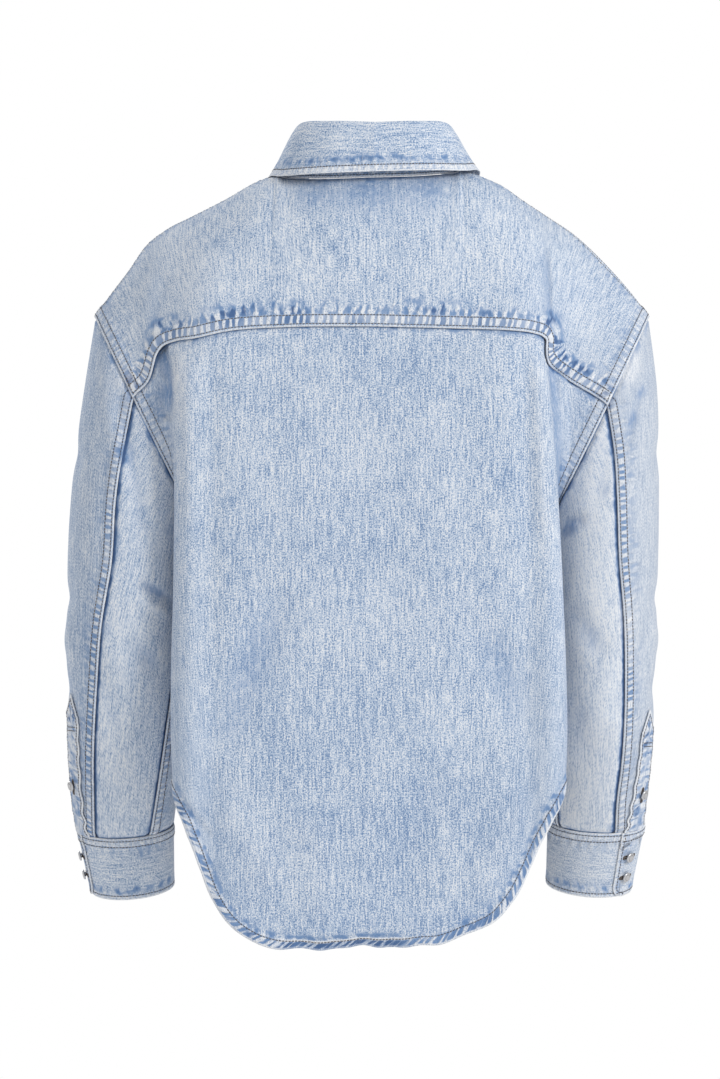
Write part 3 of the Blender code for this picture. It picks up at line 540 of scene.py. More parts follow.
def nearest_on(line, points):
    """(distance, run along the line) of the nearest place on a line of corners: the nearest corner is
    found first, and then the nearer of the two pieces beside it."""
    arc = arc_along(line)
    squares = (line**2).sum(1)[None] - 2 * points @ line.T
    corner = squares.argmin(axis=1)
    best, run = np.full(len(points), np.inf), np.zeros(len(points))
    for start in (np.clip(corner - 1, 0, len(line) - 2), np.clip(corner, 0, len(line) - 2)):
        piece = line[start + 1] - line[start]
        length = np.maximum(np.linalg.norm(piece, axis=1), TINY)
        t = np.clip(((points - line[start]) * piece).sum(1) / length**2, 0, 1)
        gap = np.linalg.norm(points - line[start] - piece * t[:, None], axis=1)
        run = np.where(gap < best, arc[start] + t * length, run)
        best = np.minimum(gap, best)
    return best, run


corner_line = np.array([[0.0, 0.0, 0.0], [10.0, 0.0, 0.0], [10.0, 10.0, 0.0]])
off_line, on_line = nearest_on(corner_line, np.array([[8.0, 5.0, 0.0]]))
print("a point is", off_line.item(), "from a bent line, at", on_line.item(), "along it")

# %% The panel class
EDGE_REACH = 42.0
EDGES = {"first": np.s_[:, 0], "last": np.s_[:, -1], "top": np.s_[0], "bottom": np.s_[-1]}
UPRIGHT_EDGES = ("first", "last")


class Panel:
    """A grid of points in millimetres, with its outward normals and its distances from four edges."""

    def __init__(self, name, points, about, middle=None):
        self.name = name
        self.points = points
        self.flat = points.copy()
        across, down = running(points, 1), running(points, 0)
        middle = points.shape[1] // 2 if middle is None else middle
        self.u = across - across[:, middle : middle + 1]
        self.v = down
        self.width = float(running(points * LEVEL, 1)[:, -1].max())
        rough = {"first": across, "last": across[:, -1:] - across, "top": down, "bottom": down[-1:] - down}
        self.far, self.run = {}, {}
        for which, at in EDGES.items():
            along_edge = down if which in UPRIGHT_EDGES else self.u
            near = rough[which] < EDGE_REACH
            self.far[which], self.run[which] = rough[which].copy(), along_edge.copy()
            distance, run = nearest_on(points[at], points[near])
            start = 0.0 if which in UPRIGHT_EDGES else self.u[at][0]
            self.far[which][near], self.run[which][near] = distance, run + start
        # Paint for the cloth: above zero pale, as wear and in places painted highlight; below zero bluer and
        # darker, as kept dye and in places painted shade
        self.rub = np.zeros(points.shape[:2])
        self.turn = 1.0
        self.turn = 1.0 if (self.normals() * (points - about)).sum() > 0 else -1.0

    def normals(self):
        """Unit normals: the cross product of the steps along rows and columns, turned outwards."""
        return self.turn * unit(np.cross(np.gradient(self.points, axis=1), np.gradient(self.points, axis=0)))

    def hang_plumb(self):
        """Sets out the cut's width by how far across the garment each point is, as measured along the
        last row and straight on past its ends, so that warp threads hang straight down."""
        across, row = self.flat[..., 0], self.flat[-1, :, 0]
        order = np.argsort(row)
        known, width = row[order], self.u[-1][order]
        self.u = np.interp(across, known, width) + across - np.clip(across, known[0], known[-1])

    def lean(self, start, full, slopes, top, reach):
        """Leans the warp inwards going down, from a distance either side of the middle: how far it
        leans is a slope for each side times the drop below the top."""
        x, z = self.flat[..., 0], self.flat[..., 2]
        slope = np.where(x > 0, slopes[0], -slopes[1]) * ramp(start, full, np.abs(x))
        self.u = self.u + slope * np.clip(top - z, 0, reach)

    def cut(self):
        """(width, length, area) of the cloth before it was folded, in metres. Width is a row's longest
        run on the level, because rows slope with hem and shoulder, and length is the longest column."""
        flat = self.flat
        cells = np.cross(flat[1:, 1:] - flat[:-1, :-1], flat[1:, :-1] - flat[:-1, 1:])
        area = np.linalg.norm(cells, axis=-1).sum() / 2 * MM * MM
        return self.width * MM, self.v[-1].max() * MM, area


print("a panel is measured to", EDGE_REACH, "mm from its edges")

# %% Halves and laps
NEXT_IN = {"first": np.s_[:, 1], "last": np.s_[:, -2], "top": np.s_[1], "bottom": np.s_[-2]}


def hollow_axis(points):
    """The garment's upright axis at the height of each point, which outward normals lead away from."""
    return points * UPRIGHT


def mirrored(points, side):
    return points * np.array([SIGN[side], 1.0, 1.0])


def whole(left, right):
    """The right half turned over and the left half, as one grid with its middle column once."""
    return np.concatenate([mirrored(right, "right")[:, ::-1], left[:, 1:]], axis=1)


def pushed_out(points, **distances):
    """The grid with its edge lines moved out along the cloth, so that one panel laps over another."""
    points = points.copy()
    for which, edge in EDGES.items():
        points[edge] += unit(points[edge] - points[NEXT_IN[which]]) * distances.get(which, 0.0)
    return points


print("edges that can be pushed out:", ", ".join(NEXT_IN))

# %% [markdown]
# ## Seams pull the cloth
#
# A felled seam has a folded edge on top, two rows of thread that sink into it, and a flat allowance
# below that ends in a step. The thread shrinks in the wash and the cloth doesn't, so it puckers
# between the rows. `ripple` is the irregular wave of those puckers on the mesh. The dye has a wave of
# its own, of about the same length, so that white and blue take turns as the puckers do.

# %% Relief of seams
RIPPLE = (5.3, 41.0, 1.5, 67.0)
SPAN_SOFT = 1.5


def ripple(s, seed):
    """A wave of irregular length: the sine of s, pushed to and fro by a slower sine, and swelling."""
    length, wander, push, swell = RIPPLE
    turn = 2 * np.pi
    wave = np.sin(turn * s / length + push * np.sin(turn * s / wander + seed) + seed * 3)
    return wave * (0.65 + 0.35 * np.sin(turn * s / swell + seed * 5))


def between(low, high, soft, value):
    """1 between low and high, with soft shoulders."""
    return ramp(low - soft, low + soft, value) * (1 - ramp(high - soft, high + soft, value))


def bell(middle, width, value):
    """exp(-((value - middle) / width)^2)."""
    return np.exp(-(((value - middle) / width) ** 2))


def lapped_relief(d, s, rows, seed, height=1.0, **_):
    """A folded edge that lies on its neighbour: a flat allowance, rounded at the edge, stepping down
    past the last row, with a groove along each row of thread and puckers between and beyond them."""
    last = rows[-1]
    allowance = height * (1 - ramp(last + 1.2, last + 3.4, d))
    rounded = -0.7 * height * bell(0.0, 0.7, d)
    grooves = sum(-0.45 * bell(row, 0.9, d) for row in rows)
    pucker = 0.32 * ripple(s, seed) * between(rows[0], last + 0.5, 1.0, d)
    beyond = 0.4 * ripple(s * 0.62, seed + 1) * bell(last + 3, 4.5, d)
    return allowance + rounded + grooves + pucker + beyond


def tucked_relief(d, s, seed, depth=1.9, **_):
    """Cloth that goes in under its neighbour: sunk at the edge, rising over a few millimetres."""
    sunk = -depth * (1 - ramp(0.8, 6.0, d))
    return sunk + 0.35 * ripple(s * 0.7, seed) * bell(5.0, 4.0, d)


def hem_relief(d, s, row, seed, **_):
    """A narrow hem, turned twice: a round edge, slanting ropes of twisted cloth, and one sunk row."""
    turned = 1.1 * (1 - ramp(row + 0.6, row + 2.2, d))
    ropes = 0.35 * np.sin(2 * np.pi * (s + 0.9 * d) / 9.5 + 1.3 * np.sin(s / 23.0)) * between(1, row, 1, d)
    beyond = 0.3 * ripple(s * 0.6, seed) * bell(row + 3, 3.5, d)
    return turned - bell(0.0, 1.0, d) + ropes - 0.4 * bell(row, 0.9, d) + beyond


RELIEF = {"lapped": lapped_relief, "tucked": tucked_relief, "hem": hem_relief}


def sew(panel, seams):
    """Raises a panel along its normals by the relief of its seams, a list of (edge, style, settings)."""
    total = np.zeros(panel.points.shape[:2])
    for which, style, settings in seams:
        d, s = panel.far[which], panel.run[which]
        relief = RELIEF[style](d, s, **settings)
        if "span" in settings:
            relief = relief * between(*settings["span"], SPAN_SOFT, np.abs(s))
        total = total + relief
    panel.points = panel.points + panel.normals() * total[..., None]


FELLED = (2.6, 10.6)
inwards = np.arange(0.0, 13.0, 3.0)
print("relief of a seam, 0 to 12 mm in:", np.round(lapped_relief(inwards, 0.0, FELLED, 0.0), 2))

# %% [markdown]
# ## Folds placed one by one
#
# Cloth simulation gives folds that are plausible but never the ones that a garment really has. Here
# each fold is a line drawn on the garment as someone sees it, with a width and a height, and cloth
# near the line is raised or sunk in a bell shape that fades at both ends of the line. A `sharpness`
# steepens one side, as when cloth folds over itself. The heights also colour the cloth: raised cloth
# is painted pale as wear, and sunk cloth bluer and darker, partly kept dye and partly painted shade.

# %% Folds along lines
# A view's axis and its sign, and how far along it cloth starts to face the viewer and does so wholly
VIEWS = {
    "back": (1, 1, 0.0, 34.0),
    "front": (1, -1, 0.0, 34.0),
    "left": (0, 1, 190.0, 235.0),
    "right": (0, -1, 190.0, 235.0),
}
# Millimetres of fold height to one full step of paint: pale wear on ridges, and in hollows blue that is
# partly kept dye and partly painted shade
WEAR_AND_LIGHT_HEIGHT = 6.0


def fold_height(a, b, path, width, height, sharpness=1.0):
    """For points (a, b): the bell of their distance to the path, exp(-(distance / width)^2), where the
    width is divided by sharpness on the path's right side, times a fade over each end's first fifth."""
    path = np.asarray(path, float)
    starts = arc_along(path)
    best = np.full(a.shape, np.inf)
    side = np.zeros(a.shape)
    place = np.zeros(a.shape)
    for (x0, y0), (x1, y1), start, length in zip(path, path[1:], starts, np.diff(starts)):
        ux, uy = (x1 - x0) / length, (y1 - y0) / length
        t = np.clip((a - x0) * ux + (b - y0) * uy, 0, length)
        gap = np.hypot(a - x0 - t * ux, b - y0 - t * uy)
        nearer = gap < best
        best = np.where(nearer, gap, best)
        side = np.where(nearer, (a - x0) * uy - (b - y0) * ux, side)
        place = np.where(nearer, (start + t) / starts[-1], place)
    reach = np.where(side > 0, width / sharpness, width)
    fade = np.sqrt(np.clip(np.minimum(place, 1 - place) * 5, 0, 1))
    return height * bell(0.0, reach, best) * fade


def seen(panel, view):
    """(across, level, facing, towards): the two directions of a view at each point, the share to which
    the point faces the viewer, and the direction to the viewer."""
    axis, sign, low, high = VIEWS[view]
    towards = np.zeros(3)
    towards[axis] = sign
    facing = ramp(low, high, sign * panel.points[..., axis])
    return panel.points[..., 1 - axis], panel.points[..., 2], facing, towards


def fold(panel, view, folds):
    """Moves a panel towards the viewer by all the folds drawn in one view, and notes their heights for
    its colour: raised cloth is painted pale as wear, and sunk cloth bluer and darker, partly kept dye
    and partly painted shade. Only cloth on the viewer's side moves, and panels that meet at a seam
    move alike."""
    across, level, facing, towards = seen(panel, view)
    height = sum(fold_height(across, level, *line) for line in folds) * facing
    panel.points = panel.points + towards * height[..., None]
    panel.rub = panel.rub + height / WEAR_AND_LIGHT_HEIGHT


def paint_wear_and_light(panel, view, spots):
    """Paints cloth pale, or bluer and darker where the amount is under zero, in round spots with soft
    edges: (across, level, radius, amount), as seen in one view. Pale spots are mostly wear and some
    are painted highlight; blue spots are kept dye in some places and painted shade in others."""
    across, level, facing, _ = seen(panel, view)
    for a, z, radius, amount in spots:
        panel.rub = panel.rub + amount * facing * bell(0.0, radius, np.hypot(across - a, level - z))


on_and_off = np.array([0.0, 10.0])
tried = fold_height(on_and_off, np.zeros(2), [(0, -50), (0, 50)], 10.0, 3.0)
print("height on a fold's line and 10 mm off it:", tried)

# %% [markdown]
# ## Shader maths that reads like Python
#
# A denim finish needs dozens of small sums: stripes, masks and waves over the cut cloth. Wiring each
# Math node by hand hides the idea. `Field` wraps a socket, so that `1 - mask` adds the node itself,
# and `Finish.node` adds any other node from its type, its settings and its sockets.


# %% Colours and fields
def srgb(red, green, blue):
    """A colour as a dyer's card gives it, 0 to 255, made linear for the shader."""
    share = np.array([red, green, blue]) / 255.0
    linear = np.where(share <= 0.04045, share / 12.92, ((share + 0.055) / 1.055) ** 2.4)
    return (*(float(c) for c in linear), 1.0)


class Field:
    """A number that varies over a surface: a socket whose sums add Math nodes."""

    def __init__(self, finish, socket):
        self.finish = finish
        self.socket = socket

    def maths(self, operation, *others):
        sockets = dict(enumerate((self, *others)))
        return self.finish.node("ShaderNodeMath", {"operation": operation}, sockets)

    def __add__(self, other):
        return self.maths("ADD", other)

    def __sub__(self, other):
        return self.maths("SUBTRACT", other)

    def __rsub__(self, other):
        return -self + other

    def __mul__(self, other):
        return self.maths("MULTIPLY", other)

    def __neg__(self):
        return self * -1.0

    __radd__ = __add__
    __rmul__ = __mul__

    def size(self):
        return self.maths("ABSOLUTE")

    def step(self, low, high):
        """The same smooth ramp as the mesh uses, from 0 at low to 1 at high."""
        settings = {"interpolation_type": "SMOOTHSTEP", "clamp": True}
        sockets = {"Value": self, "From Min": low, "From Max": high}
        return self.finish.node("ShaderNodeMapRange", settings, sockets)

    def inside(self, low, high, soft):
        return self.step(low - soft, low + soft) * (1 - self.step(high - soft, high + soft))

    def clamped(self):
        return self.maths("MAXIMUM", 0.0).maths("MINIMUM", 1.0)


print("mid grey in linear light:", round(srgb(128, 128, 128)[0], 3))


# %% Finishes
class Finish:
    """A material whose one Principled shader is fed by fields."""

    def __init__(self, name, **constants):
        self.material = bpy.data.materials.new(name)
        self.material.use_nodes = True
        self.tree = self.material.node_tree
        self.shader = self.tree.nodes["Principled BSDF"]
        for socket, value in constants.items():
            self.shader.inputs[socket.replace("_", " ")].default_value = value

    def node(self, kind, settings, sockets, out=0):
        """Adds a node: its settings first, then its sockets, each a value or a field to link."""
        made = self.tree.nodes.new(kind)
        for name, value in settings.items():
            if name == "stops":
                while len(made.color_ramp.elements) < len(value):
                    made.color_ramp.elements.new(1.0)
                for element, (position, colour) in zip(made.color_ramp.elements, value):
                    element.position = position
                    element.color = colour
            else:
                setattr(made, name, value)
        for name, value in sockets.items():
            if isinstance(value, Field):
                self.tree.links.new(value.socket, made.inputs[name])
            else:
                made.inputs[name].default_value = value
        return Field(self, made.outputs[out])

    def mix(self, factor, a, b):
        """A colour between a and b: a Mix node keeps its colours on sockets 6 and 7 and output 2."""
        settings = {"data_type": "RGBA", "clamp_factor": True}
        return self.node("ShaderNodeMix", settings, {0: factor, 6: a, 7: b}, out=2)

    def noise(self, x, y, z=0.0, detail=1.0, rough=0.5):
        """Soft random hills about one unit across, from 0 to 1."""
        place = self.node("ShaderNodeCombineXYZ", {}, {0: x, 1: y, 2: z})
        sockets = {"Vector": place, "Scale": 1.0, "Detail": detail, "Roughness": rough}
        return self.node("ShaderNodeTexNoise", {"noise_dimensions": "3D"}, sockets)

    def attribute(self, name, out):
        return self.node("ShaderNodeAttribute", {"attribute_name": name}, {}, out)

    def place(self, uv_map):
        """The two numbers of a UV map."""
        place = self.node("ShaderNodeUVMap", {"uv_map": uv_map}, {})
        return [self.node("ShaderNodeSeparateXYZ", {}, {0: place}, out) for out in (0, 1)]

    def feed(self, socket, field):
        self.tree.links.new(field.socket, self.shader.inputs[socket])

    def feed_bump(self, height):
        """Tilts the surface's normals by a field of heights in millimetres."""
        sockets = {"Strength": 1.0, "Distance": MM, "Height": height}
        self.feed("Normal", self.node("ShaderNodeBump", {}, sockets))


print("a finish can:", ", ".join(name for name in vars(Finish) if not name.startswith("_")))

# %% [markdown]
# ## Washed denim
#
# Denim is dyed only on its warp, the threads that run down the garment. Washing takes the dye off
# unevenly along each thread, so up close the cloth is thousands of short upright streaks, and from
# further off it is cloudy. The colour here is one paleness number, a sum of noises stretched along
# the warp, that picks from a card of five blues. The grain lines follow each panel's own cut, so
# they bend where the cloth bends, and on the collar and cuffs they run across.

# %% The dyer's card
CARD = [
    (0.05, srgb(104, 132, 171)),
    (0.28, srgb(148, 168, 195)),
    (0.50, srgb(178, 193, 212)),
    (0.72, srgb(200, 208, 221)),
    (0.95, srgb(223, 226, 230)),
]
# The pale of wear and of painted highlight, and the blues of dye and of painted shade
PALE_WEAR_AND_LIGHT = srgb(229, 230, 232)
GREY = srgb(190, 194, 200)
BLUE_DYE_AND_SHADE = srgb(104, 136, 179)
DEEP_BLUE_DYE_AND_SHADE = srgb(60, 90, 136)
WRONG_SIDE = [(0.3, srgb(176, 184, 198)), (0.7, srgb(214, 217, 222))]
print("colours on the card:", len(CARD))

# %% Dye along a felled seam
BAR_PITCH, FINGER_PITCH = 7.0, 9.0


def dashes(finish, s, d, pitch, seed, even=0.0):
    """Broken bars across a seam about a pitch apart, from 0 to 1: the more even, the more alike."""
    along = s + d * 0.15 + finish.noise(s * 0.06, 0.0, seed + 3.0) * 12.0
    broken = finish.noise(along * (1.8 / pitch), d * 0.1, seed, 1.0) * (1 - even)
    wave = (along * (2 * np.pi / pitch)).maths("SINE") * 0.25 + 0.5
    return (broken + wave * even).step(0.4, 0.55)


def lapped_dye(finish, d, s, rows, seed, contrast=0.5, halo=0.4, pale=0.3, ridge=0.95, marks=None, **_):
    """(worn, blue, height) of a folded edge: a pale line on its fold, pale cloth crossed by blue bars
    between its rows of thread where it puckers, and past them fingers of blue and white. Marks are a
    row of longer blue dashes: (nearest, farthest, pitch)."""
    near = rows[0] + 0.7 if len(rows) > 1 else 1.8
    last = rows[-1]
    inside = d.inside(near, last - 0.6, 0.7)
    past = d - last
    bars = dashes(finish, s, d, BAR_PITCH, seed, 0.55)
    beyond = dashes(finish, s, d, FINGER_PITCH, seed + 17.0, 0.4)
    patchy = finish.noise(s * 0.022, d * 0.02, seed + 11.0).step(0.4, 0.62)
    smudge = finish.noise(s * 0.12, d * 0.09, seed + 7.0, 2.0)
    finger = finish.noise(s * 0.15, 0.0, seed + 31.0) * 34.0 - 9.0
    finger = (finger - past).step(-2.5, 2.5) * past.step(0.3, 1.4)
    fleck = finish.noise(s * 0.36, d * 0.16, seed + 37.0, 2.0).step(0.36, 0.56)
    crossed = bars * (patchy * 0.4 + 0.6) * min(1.0, 0.4 + contrast)
    worn = (1 - d.step(0.8, 1.8)) * ridge + inside * (1 - crossed) * (pale + 0.35 * contrast)
    worn = worn + finger * (1 - beyond) * fleck * (0.8 * halo)
    groove = sum(d.inside(row - 0.6, row + 0.6, 0.5) for row in rows)
    blue = inside * bars * (patchy * 0.45 + 0.55) * contrast + groove * 0.5
    blue = blue + finger * beyond * (patchy * 0.5 + 0.5) * smudge.step(0.26, 0.46) * (1.2 * halo)
    blue = blue + d.inside(last + 3.0, last + 16.0, 4.0) * smudge.step(0.44, 0.6) * patchy * (0.7 * halo)
    if marks:
        low, high, pitch = marks
        height = finish.noise(s * 0.08, 0.0, seed + 23.0) * 7.0 - 3.5
        dashed = (d + height).inside(low, high, 2.6) * dashes(finish, s, d, pitch, seed + 29.0)
        blue = blue + dashed * smudge.step(0.3, 0.6) * 1.1
    return worn, blue, inside * (0.5 - bars) * 0.4 + finger * (0.5 - beyond) * 0.35


print("blue bars of a felled seam repeat every", BAR_PITCH, "mm or so")


# %% Dye along tucked edges and hems
def tucked_dye(finish, d, s, seed, contrast=0.7, groove=1.1, reach=2.4, **_):
    """Cloth under a fold keeps its blue: a dark groove at the edge, partly kept dye and partly painted
    shade under the lapping edge, and smudges within a finger's width.
    """
    smudge = finish.noise(s * 0.09, d * 0.14, seed + 5.0, 2.0)
    near, wide = 1 - d.step(2.0, 8.0), 1 - d.step(6.0, 20.0)
    uneven = smudge * 1.6 + 0.2
    blue = (1 - d.step(reach * 0.35, reach)) * uneven * groove + near * smudge.step(0.44, 0.64) * contrast
    blue = blue + wide * smudge.step(0.54, 0.72) * (0.4 * contrast)
    worn = d.inside(3.0, 9.0, 2.0) * (1 - smudge.step(0.3, 0.5)) * (0.4 * contrast)
    return worn, blue, (smudge - 0.5) * near * 0.3


def hem_dye(finish, d, s, row, seed, curled=None, **_):
    """A twisted hem: a pale fold, slanting ropes of white and blue in some stretches and bare white in
    others, and above it cloth that has kept more of its blue. In the stretch that has curled, the
    thread's line is the pale one and the strip below it is painted darker: its ropes, and painted shade
    where the strip turns in and faces down."""
    ropes = dashes(finish, s + d * 0.9, d, 8.0, seed, 0.35)
    patchy = finish.noise(s * 0.02, d * 0.02, seed + 13.0).step(0.34, 0.56)
    smudge = finish.noise(s * 0.1, d * 0.1, seed + 9.0, 2.0)
    inside = d.inside(1.6, row - 0.5, 0.7)
    worn = (1 - d.step(1.2, 2.4)) * 0.95 + inside * (1 - ropes) * 0.7
    blue = inside * ropes * (patchy * 0.9 + 0.4) + d.inside(row - 0.6, row + 0.6, 0.5) * 0.5
    blue = blue + d.inside(row + 0.8, row + 6.0, 1.5) * smudge.step(0.42, 0.6) * 0.75
    blue = blue + (1 - d.step(12.0, 42.0)) * smudge.step(0.46, 0.66) * patchy * 0.4
    worn = worn + d.inside(row + 0.6, row + 2.6, 0.8) * (1 - smudge.step(0.4, 0.55)) * 0.5
    # Painted shade on the curled stretch, where its strip turns in and faces down, with its ropes
    if curled:
        stretch = s.inside(*curled, 12.0)
        blue = blue + (1 - d.step(row - 2.0, row - 0.5)) * stretch * (ropes * 0.9 + 0.3)
        worn = worn * (1 - stretch * 0.6) + d.inside(row - 0.8, row + 1.6, 0.6) * stretch
    return worn, blue, inside * (0.5 - ropes) * 0.5


DYE = {"lapped": lapped_dye, "tucked": tucked_dye, "hem": hem_dye}
print("dyes for seams:", ", ".join(DYE))

# %% The denim finish
METRE = 1000.0
COLOUR_OUT, FACTOR_OUT, ALPHA_OUT = 0, 2, 3
# Painted shade: the cloth darkens towards the hem between these distances down the cut, in mm
LOWER_SHADE_SPAN = (240.0, 480.0)
# Where the cloth goes greyer towards its sides: from and to this far from the middle, in mm
SIDE_GREYING_SPAN = (110.0, 230.0)
# Each noise of the cloth: its hills to a millimetre across the warp and along it, its detail and
# roughness, and how strongly it turns the cloth pale
GRAIN = {
    "streak": (0.66, 0.07, 1.0, 0.6, 1.25),
    "slub": (0.5, 0.018, 1.0, 0.5, 0.7),
    "speck": (0.76, 0.64, 1.0, 0.7, 2.6),
    "patch": (0.06, 0.04, 2.0, 0.6, 0.36),
    "cloud": (0.018, 0.012, 1.0, 0.5, 0.35),
}


def edge_fields(finish, name):
    """Four numbers that a panel's mesh carries, one for each edge, in millimetres."""
    colour = finish.attribute(name, COLOUR_OUT)
    split = [finish.node("ShaderNodeSeparateColor", {}, {0: colour}, out) for out in range(3)]
    return dict(zip(EDGES, (*split, finish.attribute(name, ALPHA_OUT))))


def denim(name, seams, grain="down", seed=0.0, shift=0.0, faded=0.0, sunned=0.0, sinks=0.0):
    """Washed denim for one panel, with the wear of its own seams. Faded cloth has gone greyer, all over
    and by a further amount towards its sides, and the cloth is painted darker towards the hem, as
    painted shade."""
    finish = Finish(name, Roughness=0.88, Sheen_Weight=0.05, Sheen_Roughness=0.6, Specular_IOR_Level=0.18)
    u, v = (field * METRE for field in finish.place("cut"))
    weft, warp = (u, v) if grain == "down" else (v, u)
    # Painted shade: the card's paleness falls towards the hem
    noises, pale = {}, v.step(*LOWER_SHADE_SPAN) * -sinks + (0.5 + shift)
    for kind, (across, down, detail, rough, strength) in GRAIN.items():
        start = seed + 20 * len(noises)
        noises[kind] = finish.noise(weft * across, warp * down, start, detail, rough) - 0.5
        pale = pale + noises[kind] * strength
    colour = finish.node("ShaderNodeValToRGB", {"stops": CARD}, {0: pale})
    # Greyer all over as faded, and more so towards the sides
    colour = finish.mix(u.size().step(*SIDE_GREYING_SPAN) * sunned + faded, colour, GREY)
    streak, speck = noises["streak"], noises["speck"]
    worn, blue, height = 0.0, 0.0, streak * 0.12 + speck * 0.1 + noises["patch"] * 0.25
    distances, runs = edge_fields(finish, "edges"), edge_fields(finish, "runs")
    for which, style, settings in seams:
        d, s = distances[which], runs[which]
        parts = DYE[style](finish, d, s, **settings)
        if "span" in settings:
            within = s.size().inside(*settings["span"], SPAN_SOFT)
            parts = [part * within for part in parts]
        worn, blue, height = parts[0] + worn, parts[1] + blue, parts[2] + height
    # The folds' and spots' paint: above zero pale, as wear and in places painted highlight; below zero bluer
    # and darker, as kept dye and in places painted shade
    rub = finish.attribute("rub", FACTOR_OUT)
    mottle = finish.noise(u * 0.16, v * 0.12, seed + 90, 2.0).step(0.32, 0.6) * 0.7 + 0.3
    sunk = (-rub).step(0.1, 1.3)
    worn = (worn + rub.step(0.1, 1.0) * mottle * 0.7) * (1 - sunk)
    blue = blue + sunk * mottle * 0.9
    fuzz = streak * 0.8 + speck * 1.6
    # Blue is kept dye, with painted shade in hollows, some spots, seam grooves and the curled hem
    colour = finish.mix(blue.clamped() * (0.82 + fuzz * 1.3), colour, BLUE_DYE_AND_SHADE)
    colour = finish.mix((blue - 1.0).clamped() * 0.8, colour, DEEP_BLUE_DYE_AND_SHADE)
    colour = finish.mix(worn.clamped() * (0.76 + fuzz * 1.1), colour, PALE_WEAR_AND_LIGHT)
    finish.feed("Base Color", colour)
    finish.feed_bump(height)
    return finish.material


def wrong_side():
    """The inside of the cloth: mostly undyed weft, grey-white with blue specks."""
    finish = Finish("denim_wrong_side", Roughness=0.9, Specular_IOR_Level=0.2)
    u, v = (field * METRE for field in finish.place("cut"))
    twill = finish.noise((u + v) * 0.8, (u - v) * 0.25, 3.0, 2.0) * 0.6 + finish.noise(u * 0.1, v * 0.1) * 0.4
    finish.feed("Base Color", finish.node("ShaderNodeValToRGB", {"stops": WRONG_SIDE}, {0: twill}))
    finish.feed_bump(twill * 0.2)
    return finish.material


INSIDE = wrong_side()
print("the wrong side is", INSIDE.name)

# %% [markdown]
# ## From a grid to a piece of cloth
#
# The grid goes into a mesh as quads in one call. The mesh carries its cut as a UV map, in metres on
# the flat cloth, its distances from the four edges and along them as two colour attributes, and the
# pale and blue that its folds and spots paint: wear and kept dye, and in places painted shade and
# painted highlight. A Solidify modifier gives the wall, inwards, and the second material shows on
# the wrong side.


# %% Cloth pieces
def quads(rows, columns, turn):
    """Corners of each cell, in the order that faces outwards."""
    index = np.arange(rows * columns).reshape(rows, columns)
    cells = np.stack([index[:-1, :-1], index[:-1, 1:], index[1:, 1:], index[1:, :-1]], axis=-1)
    cells = cells.reshape(-1, 4)
    return cells if turn > 0 else cells[:, ::-1]


def surface_mesh(name, points, faces):
    mesh = bpy.data.meshes.new(name)
    mesh.from_pydata(points.reshape(-1, 3) * MM, [], faces.tolist())
    mesh.shade_smooth()
    return mesh


def give_place(mesh, uv_map, place):
    """Gives each corner of each face its point's place on a UV map."""
    corners = np.empty(len(mesh.loops), np.int32)
    mesh.loops.foreach_get("vertex_index", corners)
    mesh.uv_layers.new(name=uv_map).data.foreach_set("uv", place[corners].ravel())


def stand_in_scene(name, data):
    """An object of a mesh, a light or a camera, at the origin of the scene."""
    made = bpy.data.objects.new(name, data)
    bpy.context.scene.collection.objects.link(made)
    return made


def cloth_piece(panel, seams, node, rests_on=(), **dye):
    """Sews, dyes and thickens a panel, and puts it in the place of its packed node."""
    sew(panel, seams)
    rows, columns = panel.points.shape[:2]
    mesh = surface_mesh(panel.name, panel.points, quads(rows, columns, panel.turn))
    give_place(mesh, "cut", np.stack([panel.u.ravel(), panel.v.ravel()], axis=1) * MM)
    for name, numbers in (("edges", panel.far), ("runs", panel.run)):
        four = np.stack([numbers[which] for which in EDGES], axis=-1)
        mesh.attributes.new(name, "FLOAT_COLOR", "POINT").data.foreach_set("color", four.ravel())
    mesh.attributes.new("rub", "FLOAT", "POINT").data.foreach_set("value", panel.rub.ravel())
    mesh.materials.append(denim(f"denim_{panel.name}", seams, **dye))
    mesh.materials.append(INSIDE)
    piece = stand_in_scene(panel.name, mesh)
    wall = piece.modifiers.new("wall", "SOLIDIFY")
    wall.thickness = WALL * MM
    wall.offset = -1.0
    wall.material_offset = 1
    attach(piece, "root")
    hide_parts(node)
    thread = stitching(panel, seams)
    width, length, area = panel.cut()
    print(f"{panel.name}: {rows} by {columns} points, cut {width:.3f} by {length:.3f} m, {area:.4f} m2")


print("a mesh of 2 by 2 quads has", len(quads(3, 3, 1.0)), "faces")

# %% [markdown]
# ## Rows of thread
#
# A lockstitch shows as short bars of thread end to end. Thousands of them would be slow as objects,
# so one bar of ten corners is repeated along each row in a single mesh: every bar is placed and
# turned by its own tangent, normal and the direction across.

# %% One stitch
THREAD = srgb(82, 74, 70)
WORN_THREAD = srgb(118, 110, 104)
THREAD_RADIUS = 0.48
STITCH_PITCH = 3.1
STITCH_LENGTH = 2.7
STITCH_LIFT = 0.12
TIP_DROP = 0.2
RING_SHARE = 0.3
BAR_SIDES = 4


def thread_finish():
    """Dark cotton-wrapped thread, slightly shiny, and paler where it has worn."""
    finish = Finish("topstitch_thread", Roughness=0.6, Specular_IOR_Level=0.3)
    place = finish.node("ShaderNodeTexCoord", {}, {}, "Object")
    worn = finish.node("ShaderNodeTexNoise", {}, {"Vector": place, "Scale": 90.0, "Detail": 2.0})
    finish.feed("Base Color", finish.mix(worn.step(0.42, 0.7) * 0.6, THREAD, WORN_THREAD))
    return finish.material


THREAD_FINISH = thread_finish()


